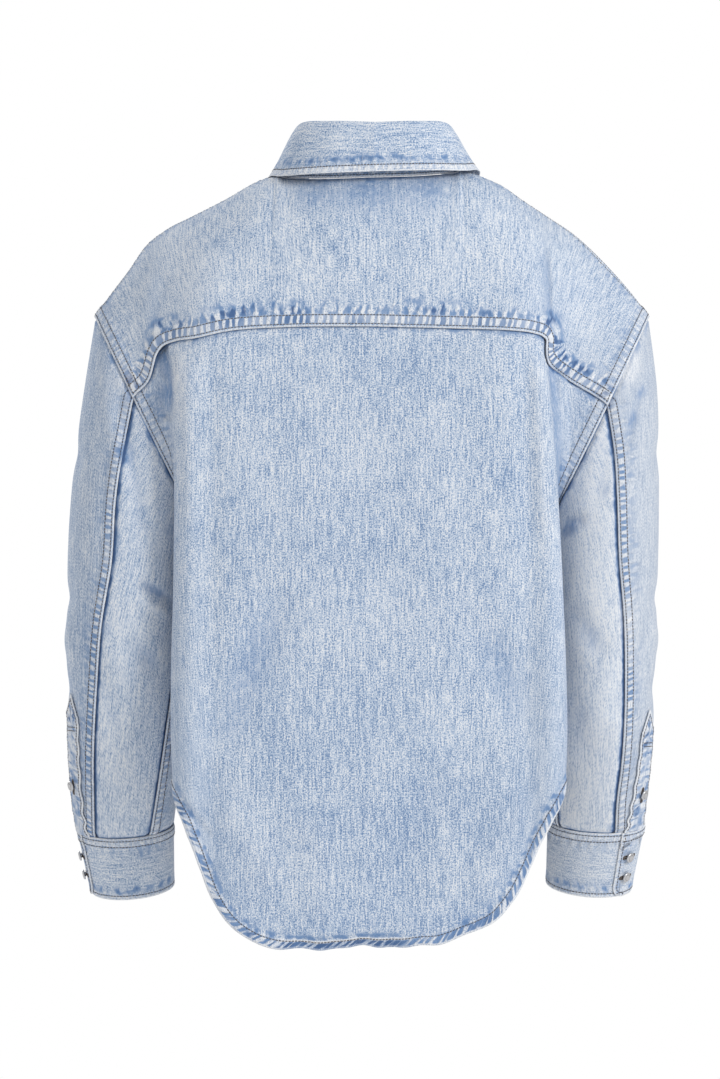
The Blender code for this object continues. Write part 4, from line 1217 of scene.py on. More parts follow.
def one_bar():
    """A bar along x: a tip, two rings of four corners and another tip, each ring at its share of the
    length from the middle."""
    angle = np.arange(BAR_SIDES) * 2 * np.pi / BAR_SIDES + np.pi / 4
    ring = np.stack([np.zeros(BAR_SIDES), np.cos(angle), np.sin(angle)], axis=1) * THREAD_RADIUS
    along_bar = np.array([STITCH_LENGTH, 0, 0])
    tip, drop = along_bar[None] / 2, TIP_DROP * UPRIGHT
    reach = RING_SHARE * along_bar
    points = np.concatenate([-tip - drop, ring - reach, ring + reach, tip - drop])
    a = 1 + np.arange(BAR_SIDES)
    b = 1 + (np.arange(BAR_SIDES) + 1) % BAR_SIDES
    c, d = a + BAR_SIDES, b + BAR_SIDES
    near, far = np.zeros_like(a), np.full_like(a, 2 * BAR_SIDES + 1)
    cells = ((near, b, a), (a, b, d), (a, d, c), (c, d, far))
    return points, np.concatenate([np.stack(cell, axis=1) for cell in cells])


print("corners to a stitch:", len(one_bar()[0]))


# %% Lines on a panel
def line_where(grids, field, value):
    """Grids of points, normals or the like, read off where a field that grows down every column has
    one value."""
    beyond = np.clip((field < value).sum(axis=0), 1, field.shape[0] - 1)
    column = np.arange(field.shape[1])
    low, high = field[beyond - 1, column], field[beyond, column]
    share = np.clip((value - low) / (high - low), 0, 1)[:, None]
    return [a[beyond - 1, column] * (1 - share) + a[beyond, column] * share for a in grids]


def line_at(panel, which, distance):
    """The line on a panel that keeps one distance from an edge, and the normals along it."""
    d, points, normals = panel.far[which], panel.points, panel.normals()
    if which in UPRIGHT_EDGES:
        d, points, normals = d.T, points.transpose(1, 0, 2), normals.transpose(1, 0, 2)
    if which in ("last", "bottom"):
        d, points, normals = d[::-1], points[::-1], normals[::-1]
    return line_where((points, normals), d, distance)


def spanned(line, panel_middle, span):
    """The part of a level line whose distance from the panel's middle is within a span."""
    points, normals = line
    arc = arc_along(points)
    from_middle = np.abs(arc - arc[panel_middle])
    chosen = (from_middle >= span[0]) & (from_middle <= span[1])
    runs = np.split(np.arange(len(points)), np.flatnonzero(np.diff(chosen.astype(int))) + 1)
    return [(points[run], normals[run]) for run in runs if chosen[run[0]] and len(run) > 3]


column = np.array([[0.0], [4.0]])
print("a column of 0 and 4 is 1 at the share:", line_where([column / 4], column, 1.0)[0].item())


# %% Rows of stitches
def bars_along(points, normals):
    """Corners and faces of the bars along one line, each bar in its own frame."""
    arc = arc_along(points)
    middles = np.arange(STITCH_PITCH, arc[-1] - STITCH_PITCH / 2, STITCH_PITCH)

    def sampled(array, at):
        return np.stack([np.interp(at, arc, array[:, axis]) for axis in range(3)], axis=1)

    ahead, behind = (sampled(points, middles + step) for step in (STITCH_PITCH / 3, -STITCH_PITCH / 3))
    tangent = unit(ahead - behind)
    across = unit(np.cross(sampled(normals, middles), tangent))
    up = np.cross(tangent, across)
    bar, faces = one_bar()
    place = sampled(points, middles) + up * STITCH_LIFT
    corners = np.einsum("bi,nij->nbj", bar, np.stack([tangent, across, up], axis=1)) + place[:, None]
    shift = np.arange(len(middles))[:, None, None] * len(bar)
    return corners.reshape(-1, 3), (faces[None] + shift).reshape(-1, 3)


def thread_piece(name, parts):
    """One piece of thread out of many parts of (corners, faces): each part's faces are counted on from
    the last part's corners."""
    sizes = [len(corners) for corners, _ in parts]
    starts = np.cumsum([0, *sizes])
    faces = np.concatenate([cells + start for (_, cells), start in zip(parts, starts)])
    mesh = surface_mesh(name, np.concatenate([corners for corners, _ in parts]), faces)
    mesh.materials.append(THREAD_FINISH)
    piece = stand_in_scene(name, mesh)
    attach(piece, "root")
    return piece


def stitching(panel, seams):
    """The rows of thread that a panel's seams call for."""
    lines = []
    for which, style, settings in seams:
        if style == "tucked":
            continue
        for row in settings["rows"] if style == "lapped" else (settings["row"],):
            line = line_at(panel, which, row)
            if "span" in settings:
                lines += spanned(line, panel.points.shape[1] // 2, settings["span"])
            else:
                lines.append(line)
    return [thread_piece(f"stitches_{panel.name}", [bars_along(*line) for line in lines])] if lines else []


print("stitches are", STITCH_PITCH, "mm apart")

# %% [markdown]
# ## The back and the yoke
#
# The yoke is one piece of cloth over both shoulders. Its lower edge is folded under and laps over
# the back, and at each end it laps over the sleeve. The back hangs from it. Both grids have their
# lines closest together at the seams. The back's lines bend, so that near each armhole they make
# even steps round its curve.


# %% Grids of the back and the yoke
def armhole_shares(apex_deg, level):
    """How far down from the apex to the underarm an even step round the armhole comes: the drop of a
    circle's cosine."""
    start = np.cos(np.radians(apex_deg))
    here = np.cos(np.radians(apex_deg + (180.0 - apex_deg) * level))
    return (start - here) / (start + 1)


def bent_levels(side, around, level):
    """Levels 0 to 1 to 2, changed towards the panel's edge to even steps round the armhole."""
    upper = np.clip(level, 0, 1)
    bent = armhole_shares(YOKE_APEX_DEG[side], upper)
    return np.where(level < 1, upper + (bent - upper) * ramp(0.2, 1.0, around), level)


def seam_line(side):
    return lambda t: body_section(side, t, YOKE_SEAM[side].at("z", t), 1.0)


def yoke_half(side, down):
    across = stations(seam_line(side), 0, 1, coarse=2.0, end=SEAM_ZONE)
    around, down = np.meshgrid(across, down)
    return upper_panel(side, around, down, YOKE_NECK_SHARE, 1.0, YOKE_SEAM[side].at("z", around))


def back_half(side, level):
    across = stations(seam_line(side), 0, 1, coarse=3.0, end=SEAM_ZONE)
    around, level = np.meshgrid(across, level)
    level = bent_levels(side, around, level)
    z = hanging_rows(YOKE_SEAM[side].at("z", around), BACK_HEM[side].at("z", around), level)
    return body_section(side, around, z, 1.0)


def yoke_fall_line(t):
    middle = np.full_like(t, 0.5)
    return upper_panel("left", middle, t, YOKE_NECK_SHARE, 1.0, YOKE_SEAM["left"].at("z", middle))


def back_fall_line(t):
    z = hanging_rows(YOKE_SEAM["left"].at("z", 0.0), BACK_HEM["left"].at("z", 0.0), t)
    return body_section("left", np.zeros_like(t), z, 1.0)


def body_grid(half, rows):
    """(points, middle column) of a panel that crosses centre back, out of a half for each side."""
    left, right = half("left", rows), half("right", rows)
    return whole(left, right), right.shape[1] - 1


yoke_rows = stations(yoke_fall_line, 0, 1, coarse=3.2, start=SEAM_ZONE, end=SEAM_ZONE)
yoke_points, yoke_middle = body_grid(yoke_half, yoke_rows)
back_rows = stations(back_fall_line, 0, 2, coarse=3.8, start=SEAM_ZONE, end=HEM_ZONE)
back_points, back_middle = body_grid(back_half, back_rows)
print("yoke grid", yoke_points.shape, "back grid", back_points.shape)

# %% [markdown]
# ### Where the back folds
#
# The wearer's arms hang a little forward, so cloth gathers behind each armhole and falls in one soft
# pleat. Below the yoke's left end the pleat turns in deeply. The rest of the back is nearly flat,
# with shallow hollows, and the middle of the hem has curled inwards in the wash.

# %% Folds of the back
# Their hollows are also painted bluer and darker, partly as painted shade, the deep left pleat most
BACK_FOLDS = [
    ([(204, -147), (195, -166), (190, -190), (189, -232)], 12, -11, 5),
    ([(210, -170), (200, -182), (190, -198)], 3.4, -1.6),
    ([(212, -184), (202, -196), (191, -214)], 3.2, -1.4),
    ([(211, -199), (202, -210), (192, -229)], 3.4, -1.2),
    ([(214, -164), (207, -174), (199, -184)], 3, 1.2),
    ([(183, -160), (177, -215), (174, -275), (171, -350)], 9, 1.6),
    ([(222, -225), (212, -250), (203, -272)], 6, -2.4),
    ([(186, -586), (172, -606), (152, -628)], 5, -2.6, 1.4),
    ([(-182, -330), (-177, -262), (-172, -200), (-169, -150)], 9, -6, 5),
    ([(-155, -150), (-158, -200), (-162, -270), (-166, -350)], 8, 3),
    ([(78, -395), (104, -440), (124, -500), (137, -556)], 22, -3),
    ([(-104, -424), (-126, -470), (-147, -530)], 20, -2.6),
    ([(30, -210), (-12, -330), (-20, -450)], 38, -1.6),
    ([(150, -590), (110, -640), (90, -690)], 20, 2.2),
    ([(-150, -585), (-120, -640), (-96, -690)], 22, 2),
    ([(-60, -560), (-40, -620), (-30, -700)], 26, -2),
    ([(60, -600), (52, -660), (40, -725)], 20, 1.8),
]
# Painted shade: (213, -252) beside the left armhole seam, and (105, -470) and (-128, -474) in the back's
# shallow hollows. Partly kept dye and partly painted shade: (-174, -172) and (-186, -182) at the right pleat.
BACK_WEAR_AND_LIGHT = [
    (206, -160, 9, 0.4), (192, -190, 17, 1), (190, -224, 14, 0.7), (170, -604, 9, -0.5),
    (-174, -172, 6, -0.7), (-186, -182, 8, -0.4), (-226, -212, 9, -0.4), (213, -252, 8, -0.5),
    (105, -470, 46, -0.22), (-128, -474, 40, -0.2), (20, -300, 60, 0.14), (60, -640, 50, 0.12),
    (171, -330, 9, 0.2), (-168, -330, 9, 0.4),
]
# Painted shade: (-190, -110) darkens the right side of the yoke, where the light falls brightest. Partly kept
# dye and partly painted shade: (0, -10), (56, -12) and (-58, -10) under the collar, and (-177, -137) at the
# right pleat.
YOKE_WEAR_AND_LIGHT = [
    (150, -110, 40, 0.3), (-120, -120, 30, 0.2), (206, -140, 8, -0.6), (-177, -137, 9, -0.8),
    (0, -90, 70, -0.25), (0, -10, 34, -0.9), (56, -12, 26, -0.8), (-58, -10, 26, -0.9),
    (228, -150, 16, 0.5), (-236, -150, 16, 0.3), (-190, -110, 30, -0.35),
    (172, -86, 22, 0.25),
]
YOKE_FOLDS = [
    ([(120, -60), (124, -100), (128, -140)], 24, -1.4),
    ([(-96, -62), (-110, -100), (-118, -140)], 24, -1.4),
    ([(196, -92), (203, -120), (206, -150)], 9, -2.2),
    ([(-167, -62), (-170, -90), (-171, -120), (-172, -150)], 8, -3.4, 4),
    ([(30, -30), (20, -80), (18, -130)], 30, 1),
]

print("folds drawn on the back:", len(BACK_FOLDS + YOKE_FOLDS))

# %% Side creases and a curled hem
BACK_CURL = (25.0, 62.0, 9.0)
SIDE_CREASE = {"out": (146.0, 176.0), "in": (183.0, 191.0), "depth": 11.0}
CREASE_BELOW, CREASE_BEHIND, CREASE_FROM_SEAM = (158.0, 196.0), (0.0, 34.0), (1.0, 14.0)
# Two waves of the hem's edge: height, length, and how far and over what length each wanders
HEM_WAVES = ((0.7, 5.6, 2.2, 37.0), (0.9, 13.0, 3.0, 71.0))


def pucker_hem(panel):
    """Raises and drops the hem's edge by up to a millimetre or so: two sine waves whose sum repeats
    nowhere along it."""
    s, near = panel.run["bottom"], 1 - ramp(2.0, 18.0, panel.far["bottom"])
    wave = sum(high * np.sin(s / long + push * np.sin(s / wander)) for high, long, push, wander in HEM_WAVES)
    panel.points = panel.points + UPRIGHT * (wave * near)[..., None]


def crease_sides(panel):
    """Keeps the back flat as far as a crease at each side: it comes out between two ramps across it,
    but not at its armholes, where it is sewn."""
    across = np.abs(panel.points[..., 0])
    out = ramp(*SIDE_CREASE["out"], across) * (1 - ramp(*SIDE_CREASE["in"], across))
    out = out * ramp(*CREASE_BELOW, -panel.points[..., 2]) * ramp(*CREASE_BEHIND, panel.points[..., 1])
    out = out * ramp(*CREASE_FROM_SEAM, np.minimum(panel.far["first"], panel.far["last"]))
    panel.points[..., 1] += out * SIDE_CREASE["depth"]


def curl_hem(panel):
    """Rolls the middle of the back hem inwards: the last rows move in by the square of their share."""
    middle, half_width, depth = BACK_CURL
    x = panel.points[..., 0]
    near = np.exp(-(((x - middle) / half_width) ** 4)) * (1 - ramp(2.0, 24.0, panel.far["bottom"]))
    panel.points = panel.points - np.array([0.0, depth, -depth * 0.25]) * (near**2)[..., None]


lapped = pushed_out(yoke_points, first=1.0, last=1.0, bottom=1.0)
yoke = Panel("yoke_cloth", lapped, hollow_axis(yoke_points), yoke_middle)
yoke.hang_plumb()
yoke.lean(start=100.0, full=240.0, slopes=(0.45, 0.65), top=-60.0, reach=200.0)
fold(yoke, "back", YOKE_FOLDS)
paint_wear_and_light(yoke, "back", YOKE_WEAR_AND_LIGHT)
lapped = pushed_out(back_points, first=1.0, last=1.0)
back = Panel("back_cloth", lapped, hollow_axis(back_points), back_middle)
back.lean(start=172.0, full=218.0, slopes=(0.6, 0.6), top=-140.0, reach=45.0)
fold(back, "back", BACK_FOLDS + YOKE_FOLDS)
paint_wear_and_light(back, "back", BACK_WEAR_AND_LIGHT)
crease_sides(back)
pucker_hem(back)
curl_hem(back)
print("the back's cut:", np.round(back.cut(), 3))

# %% [markdown]
# ### Seams of the back and the yoke
#
# Each entry names an edge, how it is sewn, and its settings. The yoke laps over the back and over the
# sleeves with two rows. Its top edge has two rows on the shoulders only, because the collar covers
# the neck seam in between. A seed changes the puckers, so that no two seams look alike.

# %% Sew the back and the yoke
ROUND_NECK, ON_SHOULDER = (-1.0, 118.0), (118.0, 999.0)
HEM_ROW = 8.6
YOKE_SEAMS = [
    ("bottom", "lapped", {"rows": (2.8, 11.2), "seed": 1.0, "contrast": 1.6, "halo": 1.35}),
    ("first", "lapped", {"rows": FELLED, "seed": 2.0, "contrast": 0.45, "halo": 0.3}),
    ("last", "lapped", {"rows": FELLED, "seed": 3.0, "contrast": 0.45, "halo": 0.3}),
    ("top", "lapped", {"rows": (2.4, 9.0), "seed": 4.0, "contrast": 0.35, "span": ON_SHOULDER}),
    ("top", "tucked", {"depth": 1.2, "seed": 4.5, "span": ROUND_NECK}),
]
BACK_SEAMS = [
    ("top", "tucked", {"seed": 1.4}),
    ("first", "lapped", {"rows": FELLED, "seed": 5.0, "contrast": 0.45}),
    ("last", "lapped", {"rows": FELLED, "seed": 6.0, "contrast": 0.45}),
    ("bottom", "hem", {"row": HEM_ROW, "seed": 7.0, "curled": (-40.0, 88.0)}),
]
cloth_piece(yoke, YOKE_SEAMS, "back_yoke", seed=3.0, shift=0.045, sunned=0.08)
# The back is painted a little darker towards its hem, as painted shade
BACK_DYE = {"seed": 9.0, "faded": 0.04, "sunned": 0.05, "sinks": 0.06}
cloth_piece(back, BACK_SEAMS, "back_panel", ["yoke_cloth"], **BACK_DYE)

# %% [markdown]
# ## The fronts and the button band
#
# The fronts hang from the shoulder seams, which the yoke laps over. The left front carries the
# button band, a separate strip sewn on with a row of thread along each edge, and it closes over the
# right front. Their hems rise to the side seams like the back's.

# %% Grids of the fronts
PLACKET_HALF_WIDTH = 17.0
UNDERLAP_DROP = 2.6
UNDERLAP_REACH = 0.8
UNDERLAP_SPREAD = (0.08, 0.2)
FRONT_STEPS = {"coarse": 5.0, "fine": 1.4}
corner_x = float(FRONT.at("corner_x", FRONT_UPPER_Z))
BAND_EDGE = PLACKET_HALF_WIDTH / (MIDDLE_SHARE * corner_x) * SECTION_STATIONS[2]


def front_surface(side, across, down, level):
    """A front's rows: shares of the way down to the shoulder's rounding, then levels to the hem."""
    around, share = np.meshgrid(across, down)
    seam_z = front_seam_z(side, around)
    upper = upper_panel(side, around, share, FRONT_NECK_SHARE, -1.0, seam_z)
    around, level = np.meshgrid(across, level[1:])
    level = bent_levels(side, np.abs(around), level)
    z = hanging_rows(front_seam_z(side, around), FRONT_HEM.at("z", np.abs(around)), level)
    return np.concatenate([upper, body_section(side, around, z, -1.0)])


def front_line(side):
    return lambda t: body_section(side, t, np.full_like(t, FRONT_UPPER_Z), -1.0)


def front_down_line(t):
    middle = np.full_like(t, 0.55)
    return upper_panel("left", middle, t, FRONT_NECK_SHARE, -1.0, front_seam_z("left", middle))


def front_level_line(t):
    z = hanging_rows(FRONT_UPPER_Z, FRONT_HEM.at("z", 0.0), t)
    return body_section("left", np.zeros_like(t), z, -1.0)


def front_grid(side, inner_edge, drop, down, level):
    """A front from its middle edge to the armhole. The part that goes under the band is lower."""
    across = stations(front_line(side), inner_edge, 1, **FRONT_STEPS, start=SEAM_ZONE, end=SEAM_ZONE)
    points = front_surface(side, across, down, level)
    under = drop * (1 - ramp(*UNDERLAP_SPREAD, np.abs(across)))
    points[..., 1] += under
    points[0, :, 2] -= under
    return mirrored(points, side)


front_down = stations(front_down_line, 0, 1, coarse=4.4, fine=1.4, start=SEAM_ZONE)
front_level = stations(front_level_line, 0, 2, coarse=5.0, fine=1.5, end=HEM_ZONE)
left_points = front_grid("left", BAND_EDGE, 0.0, front_down, front_level)
right_points = front_grid("right", -UNDERLAP_REACH * BAND_EDGE, UNDERLAP_DROP, front_down, front_level)
band_across = stations(front_line("left"), -BAND_EDGE, BAND_EDGE, coarse=1.8, start=6.0, end=6.0)
band_points = front_surface("left", band_across, front_down, front_level)
print("front grids", left_points.shape, right_points.shape, "band", band_points.shape)

# %% Folds and seams of the fronts
FRONT_FOLDS = [
    ([(206, -152), (188, -190), (176, -250), (172, -330)], 9, -7, 1.8),
    ([(-204, -150), (-184, -196), (-174, -262), (-172, -350)], 10, -6, 1.6),
    ([(186, -262), (166, -292), (140, -312)], 7, -3, 1.3),
    ([(182, -290), (158, -322), (136, -336)], 6, 2),
    ([(-184, -252), (-160, -276), (-136, -286)], 6, -2.6, 1.3),
    ([(-176, -420), (-154, -452), (-128, -470)], 9, -2.6, 1.2),
    ([(174, -480), (150, -520), (122, -544)], 9, -2.4, 1.2),
    ([(120, -110), (128, -200), (134, -330)], 24, 3),
    ([(-116, -110), (-126, -210), (-130, -340)], 24, 3),
    ([(86, -200), (94, -320), (88, -450)], 22, -2.6),
    ([(-88, -220), (-98, -330), (-92, -470)], 22, -2.6),
    ([(140, -420), (118, -500), (104, -600)], 24, 2.6),
    ([(-142, -410), (-122, -500), (-110, -610)], 24, 2.6),
]
front_left = Panel("front_left_cloth", pushed_out(left_points, last=1.0), hollow_axis(left_points))
front_right = Panel("front_right_cloth", pushed_out(right_points, last=1.0), hollow_axis(right_points))
band = Panel("button_band", pushed_out(band_points, last=1.0), hollow_axis(band_points))
for panel in (front_left, front_right):
    fold(panel, "front", FRONT_FOLDS)
    pucker_hem(panel)
FRONT_HEM_SEAM = {"row": HEM_ROW, "seed": 2.3}
TOP_ROW = {"rows": (4.0,), "height": 0.3}
cloth_piece(
    front_left,
    [
        ("first", "tucked", {"depth": 1.6, "seed": 3.1}),
        ("top", "tucked", {"seed": 3.3}),
        ("last", "lapped", {"rows": FELLED, "seed": 3.5}),
        ("bottom", "hem", FRONT_HEM_SEAM),
    ],
    "front_left",
    seed=21.0,
    rests_on=["button_band", "yoke_cloth"],
)
cloth_piece(
    front_right,
    [
        ("first", "lapped", {"rows": (2.4,), "height": 0.4, "seed": 4.1}),
        ("top", "tucked", {"seed": 4.3}),
        ("last", "lapped", {"rows": FELLED, "seed": 4.5}),
        ("bottom", "hem", FRONT_HEM_SEAM),
    ],
    "front_right",
    seed=27.0,
    rests_on=["yoke_cloth"],
)
cloth_piece(
    band,
    [
        ("first", "lapped", {**TOP_ROW, "seed": 5.1}),
        ("last", "lapped", {**TOP_ROW, "seed": 5.3}),
        ("bottom", "hem", FRONT_HEM_SEAM),
    ],
    "front_placket",
    seed=33.0,
    rests_on=["front_right_cloth"],
)

# %% [markdown]
# ## The sleeves
#
# A sleeve is two pieces. The wide outer one laps over the narrow under one along the back seam and
# the inner seam, with two rows each. At the armhole both go in under the body. The cloth breaks into
# short diagonal folds under the armhole and at the elbow, and each sleeve breaks differently.

# %% Folds of the sleeves
SLEEVE_FOLDS = {
    "left": [
        ([(262, -150), (256, -200), (246, -250), (240, -300)], 10, 2.2),
        ([(240, -210), (232, -255), (222, -300), (214, -350)], 9, -3.2),
        ([(222, -388), (206, -395), (186, -409)], 7, -4, 1.5),
        ([(226, -404), (206, -411), (184, -424)], 6, 2.4),
        ([(236, -440), (220, -456), (202, -476)], 10, -2.2),
        ([(276, -300), (270, -380), (262, -470)], 13, 1.8),
        ([(284, -420), (268, -460), (250, -500), (240, -540)], 12, -2.6),
        ([(212, -500), (218, -550), (214, -600)], 11, -2),
        ([(262, -520), (256, -570), (248, -624)], 11, 1.8),
    ],
    "right": [
        ([(-270, -165), (-263, -190), (-253, -225), (-246, -258)], 6, -3.4, 1.3),
        ([(-250, -150), (-246, -180), (-238, -215)], 12, 2.6),
        ([(-236, -230), (-226, -275), (-216, -320)], 11, -2.4),
        ([(-183, -347), (-191, -329), (-207, -328)], 6, -3.2, 1.3),
        ([(-190, -410), (-206, -430), (-224, -462)], 11, -2.4),
        ([(-258, -300), (-254, -380), (-244, -470)], 14, 1.8),
        ([(-270, -430), (-252, -470), (-236, -520)], 12, -2.6),
        ([(-196, -500), (-204, -550), (-200, -600)], 11, -2),
        ([(-240, -520), (-238, -570), (-232, -620)], 11, 1.8),
    ],
}
# Painted shade: on the left, (206, -252) beside the armhole seam and (192, -338) in the gap between sleeve
# and body; on the right, (-262, -205) and (-253, -232) along the crease from the shoulder, and (-192, -336)
# in the dent near the body. Painted highlight: (-250, -182) on the right shoulder.
SLEEVE_WEAR_AND_LIGHT = {
    "left": [
        (238, -197, 10, 0.8), (222, -196, 12, -0.8), (238, -264, 9, -1.3), (206, -252, 8, -0.7),
        (192, -338, 8, -0.8), (257, -390, 8, -0.9), (205, -397, 9, -0.5), (200, -412, 7, 0.4),
        (214, -458, 12, -0.4), (272, -300, 14, 0.4), (266, -470, 16, 0.35), (270, -612, 9, -0.8),
        (205, -600, 12, -0.4), (248, -330, 9, 0.5),
    ],
    "right": [
        (-250, -182, 17, 0.8), (-232, -207, 12, -0.9), (-262, -205, 7, -0.7), (-253, -232, 7, -0.6),
        (-246, -300, 16, 0.4), (-240, -420, 18, 0.35), (-192, -336, 8, -1), (-212, -440, 12, -0.4),
        (-258, -520, 14, 0.4), (-262, -578, 6, -1), (-260, -612, 7, -0.9), (-226, -300, 8, -0.4),
    ],
}
SLEEVE_SIDE_FOLDS = [
    ([(-30, -240), (0, -262), (36, -276)], 14, -2.4),
    ([(-40, -420), (-8, -404), (34, -398)], 12, -2.6, 1.2),
    ([(-52, -452), (-14, -446), (28, -432)], 12, 2.2),
    ([(-66, -520), (-34, -500), (10, -480)], 13, -2.4),
    ([(-70, -590), (-60, -550), (-42, -500)], 14, 2),
]

print("folds drawn on the sleeves:", {side: len(folds) for side, folds in SLEEVE_FOLDS.items()})


# %% Grids of the sleeves
def sleeve_rows(side):
    """Where the rings go: they are spaced along a line down the sleeve just behind its outermost one."""

    def outer_line(t):
        return ring_point(SLEEVE[side], t, np.full_like(t, 20.0))

    return stations(outer_line, 0, LAST_RING, coarse=2.4, start=SEAM_ZONE, end=8.0)


def sleeve_grid(side, start_name, end_turn, coarse):
    """A sleeve panel: even shares of the way from one seam to the other, on every ring. The shares are
    set out on the middle ring, and near the armhole they are even steps of angle."""
    table = SLEEVE[side]

    def ring_angles(ring, share):
        start, end = table.at(start_name, ring), table.at("inner_seam", ring) - end_turn
        return start + (end - start) * share

    def middle_ring(t):
        ring = np.full_like(t, 4.0)
        return ring_point(table, ring, ring_angles(ring, t))

    across = stations(middle_ring, 0, 1, coarse, SEAM_ZONE, SEAM_ZONE)
    share, ring = np.meshgrid(across, sleeve_rows(side))
    points = mirrored(ring_point(table, ring, ring_angles(ring, share)), side)
    return points, mirrored(ring_middle(table, ring), side)


sleeves = {}
for side in SIGN:
    for part, end_turn, coarse in (("outer", 360.0, 4.0), ("under", 0.0, 3.6)):
        points, middles = sleeve_grid(side, "back_seam", end_turn, coarse)
        lap = 1.0 if part == "outer" else 0.0
        panel = Panel(f"sleeve_{part}_cloth_{side}", pushed_out(points, first=lap, last=lap), middles)
        fold(panel, "back", SLEEVE_FOLDS[side])
        paint_wear_and_light(panel, "back", SLEEVE_WEAR_AND_LIGHT[side])
        fold(panel, side, SLEEVE_SIDE_FOLDS)
        sleeves[side, part] = panel
    print(side, "sleeve grids", sleeves[side, "outer"].points.shape, sleeves[side, "under"].points.shape)

# %% Sew the sleeves
# The left sleeve is painted darker than the right, in part as painted shade on the side away from the light
SLEEVE_SHIFT = {"left": -0.085, "right": -0.015}
SLEEVE_FADED = {"left": 0.16, "right": 0.46}
# The under panels are painted paler, in part as painted light that offsets the shade between sleeve and body
UNDER_SHIFT = {"left": 0.18, "right": 0.27}
UNDER_FADED, CUFF_FADED = 0.35, 0.7
SLEEVE_ROWS = {"rows": (2.4, 9.3), "contrast": 0.95, "halo": 0.3, "ridge": 0.75}
for side in SIGN:
    seed = 40.0 if side == "left" else 50.0
    cloth_piece(
        sleeves[side, "outer"],
        [
            ("first", "lapped", {**SLEEVE_ROWS, "seed": seed + 0.5}),
            ("last", "lapped", {**SLEEVE_ROWS, "seed": seed + 1.5}),
            ("top", "tucked", {"seed": seed + 2.5}),
            ("bottom", "tucked", {"depth": 1.4, "seed": seed + 3.5}),
        ],
        f"sleeve_outer_{side}",
        seed=seed,
        shift=SLEEVE_SHIFT[side],
        faded=SLEEVE_FADED[side],
        rests_on=["yoke_cloth", "back_cloth", f"front_{side}_cloth"],
    )
    cloth_piece(
        sleeves[side, "under"],
        [
            ("first", "tucked", {"seed": seed + 4.5, "groove": 1.9, "reach": 5.0}),
            ("last", "tucked", {"seed": seed + 5.5, "groove": 1.7, "reach": 4.2}),
            ("top", "tucked", {"seed": seed + 6.5}),
            ("bottom", "tucked", {"depth": 1.4, "seed": seed + 7.5}),
        ],
        f"sleeve_under_{side}",
        seed=seed + 6,
        shift=SLEEVE_SHIFT[side] + UNDER_SHIFT[side],
        faded=SLEEVE_FADED[side] * UNDER_FADED,
        rests_on=[f"sleeve_outer_cloth_{side}", "back_cloth"],
    )

# %% [markdown]
# ## Cuffs and sleeve bands
#
# A cuff is a stiff strip with its grain running round the wrist. Its end is rounded at the lower
# corner and laps over the other end, where two buttons hold it. Above it a pointed band finishes the
# slit in the sleeve, stitched all round and across in a box near the top.

# %% Cuff and band grids
LAP_GAP = 0.5
CUFF_HEIGHT = 62.0
CUFF_LAP_DEG = 34.0
CUFF_END_DEG = {"left": 27.0, "right": 60.0}
CUFF_LIFT = 0.3
CUFF_CORNER_RADIUS = 11.0
CUFF_CORNER_SPREAD = 0.11
SLEEVE_PLACKET_LENGTH = {"left": 140.0, "right": 124.0}
SLEEVE_PLACKET_HALF_WIDTH = 13.0
SLEEVE_PLACKET_POINT = 17.0
PLACKET_RING = 5.0
PLACKET_FOOT = 0.03
PLACKET_LIFT = 1.0
SLEEVE_PLACKET_POINT_DEG = {"left": 28.0, "right": 31.0}
BAND_SCALLOP = {"left": (23.0, 1.6), "right": (19.0, 1.1)}
SLEEVE_PLACKET_FOOT_DEG = {"left": 23.0, "right": 38.0}


def cuff_grid(side):
    """A strip once round the wrist and on under its own lapped end. The lower corner is a quarter of
    a circle: its columns are pushed along by r - sqrt(r^2 - h^2) for a height h within the corner."""
    table = CUFF[side]

    def level_line(t):
        halfway_down = np.full_like(t, 0.5)
        return ring_point(table, halfway_down, CUFF_END_DEG[side] - (360.0 + CUFF_LAP_DEG) * t)

    across = stations(level_line, 0, 1, coarse=2.2, start=8.0, end=6.0)
    rows = spaced(CUFF_HEIGHT, coarse=1.8, start=12.0, end=8.0)
    share, down = np.meshgrid(across, rows)
    height = np.clip((down - 1) * CUFF_HEIGHT / CUFF_CORNER_RADIUS + 1, 0, 1)
    corner = CUFF_CORNER_RADIUS * (1 - np.sqrt(1 - height**2)) * (1 - ramp(0, CUFF_CORNER_SPREAD, share))
    radius = (table.at("out_x", 0.5) - table.at("in_x", 0.5)) / 2
    degrees = CUFF_END_DEG[side] - np.degrees(corner / radius) - (360.0 + CUFF_LAP_DEG) * share
    points = ring_point(table, down, degrees, (WALL + LAP_GAP) * (0.5 - share) + CUFF_LIFT)
    return mirrored(points, side), mirrored(ring_middle(table, down), side)


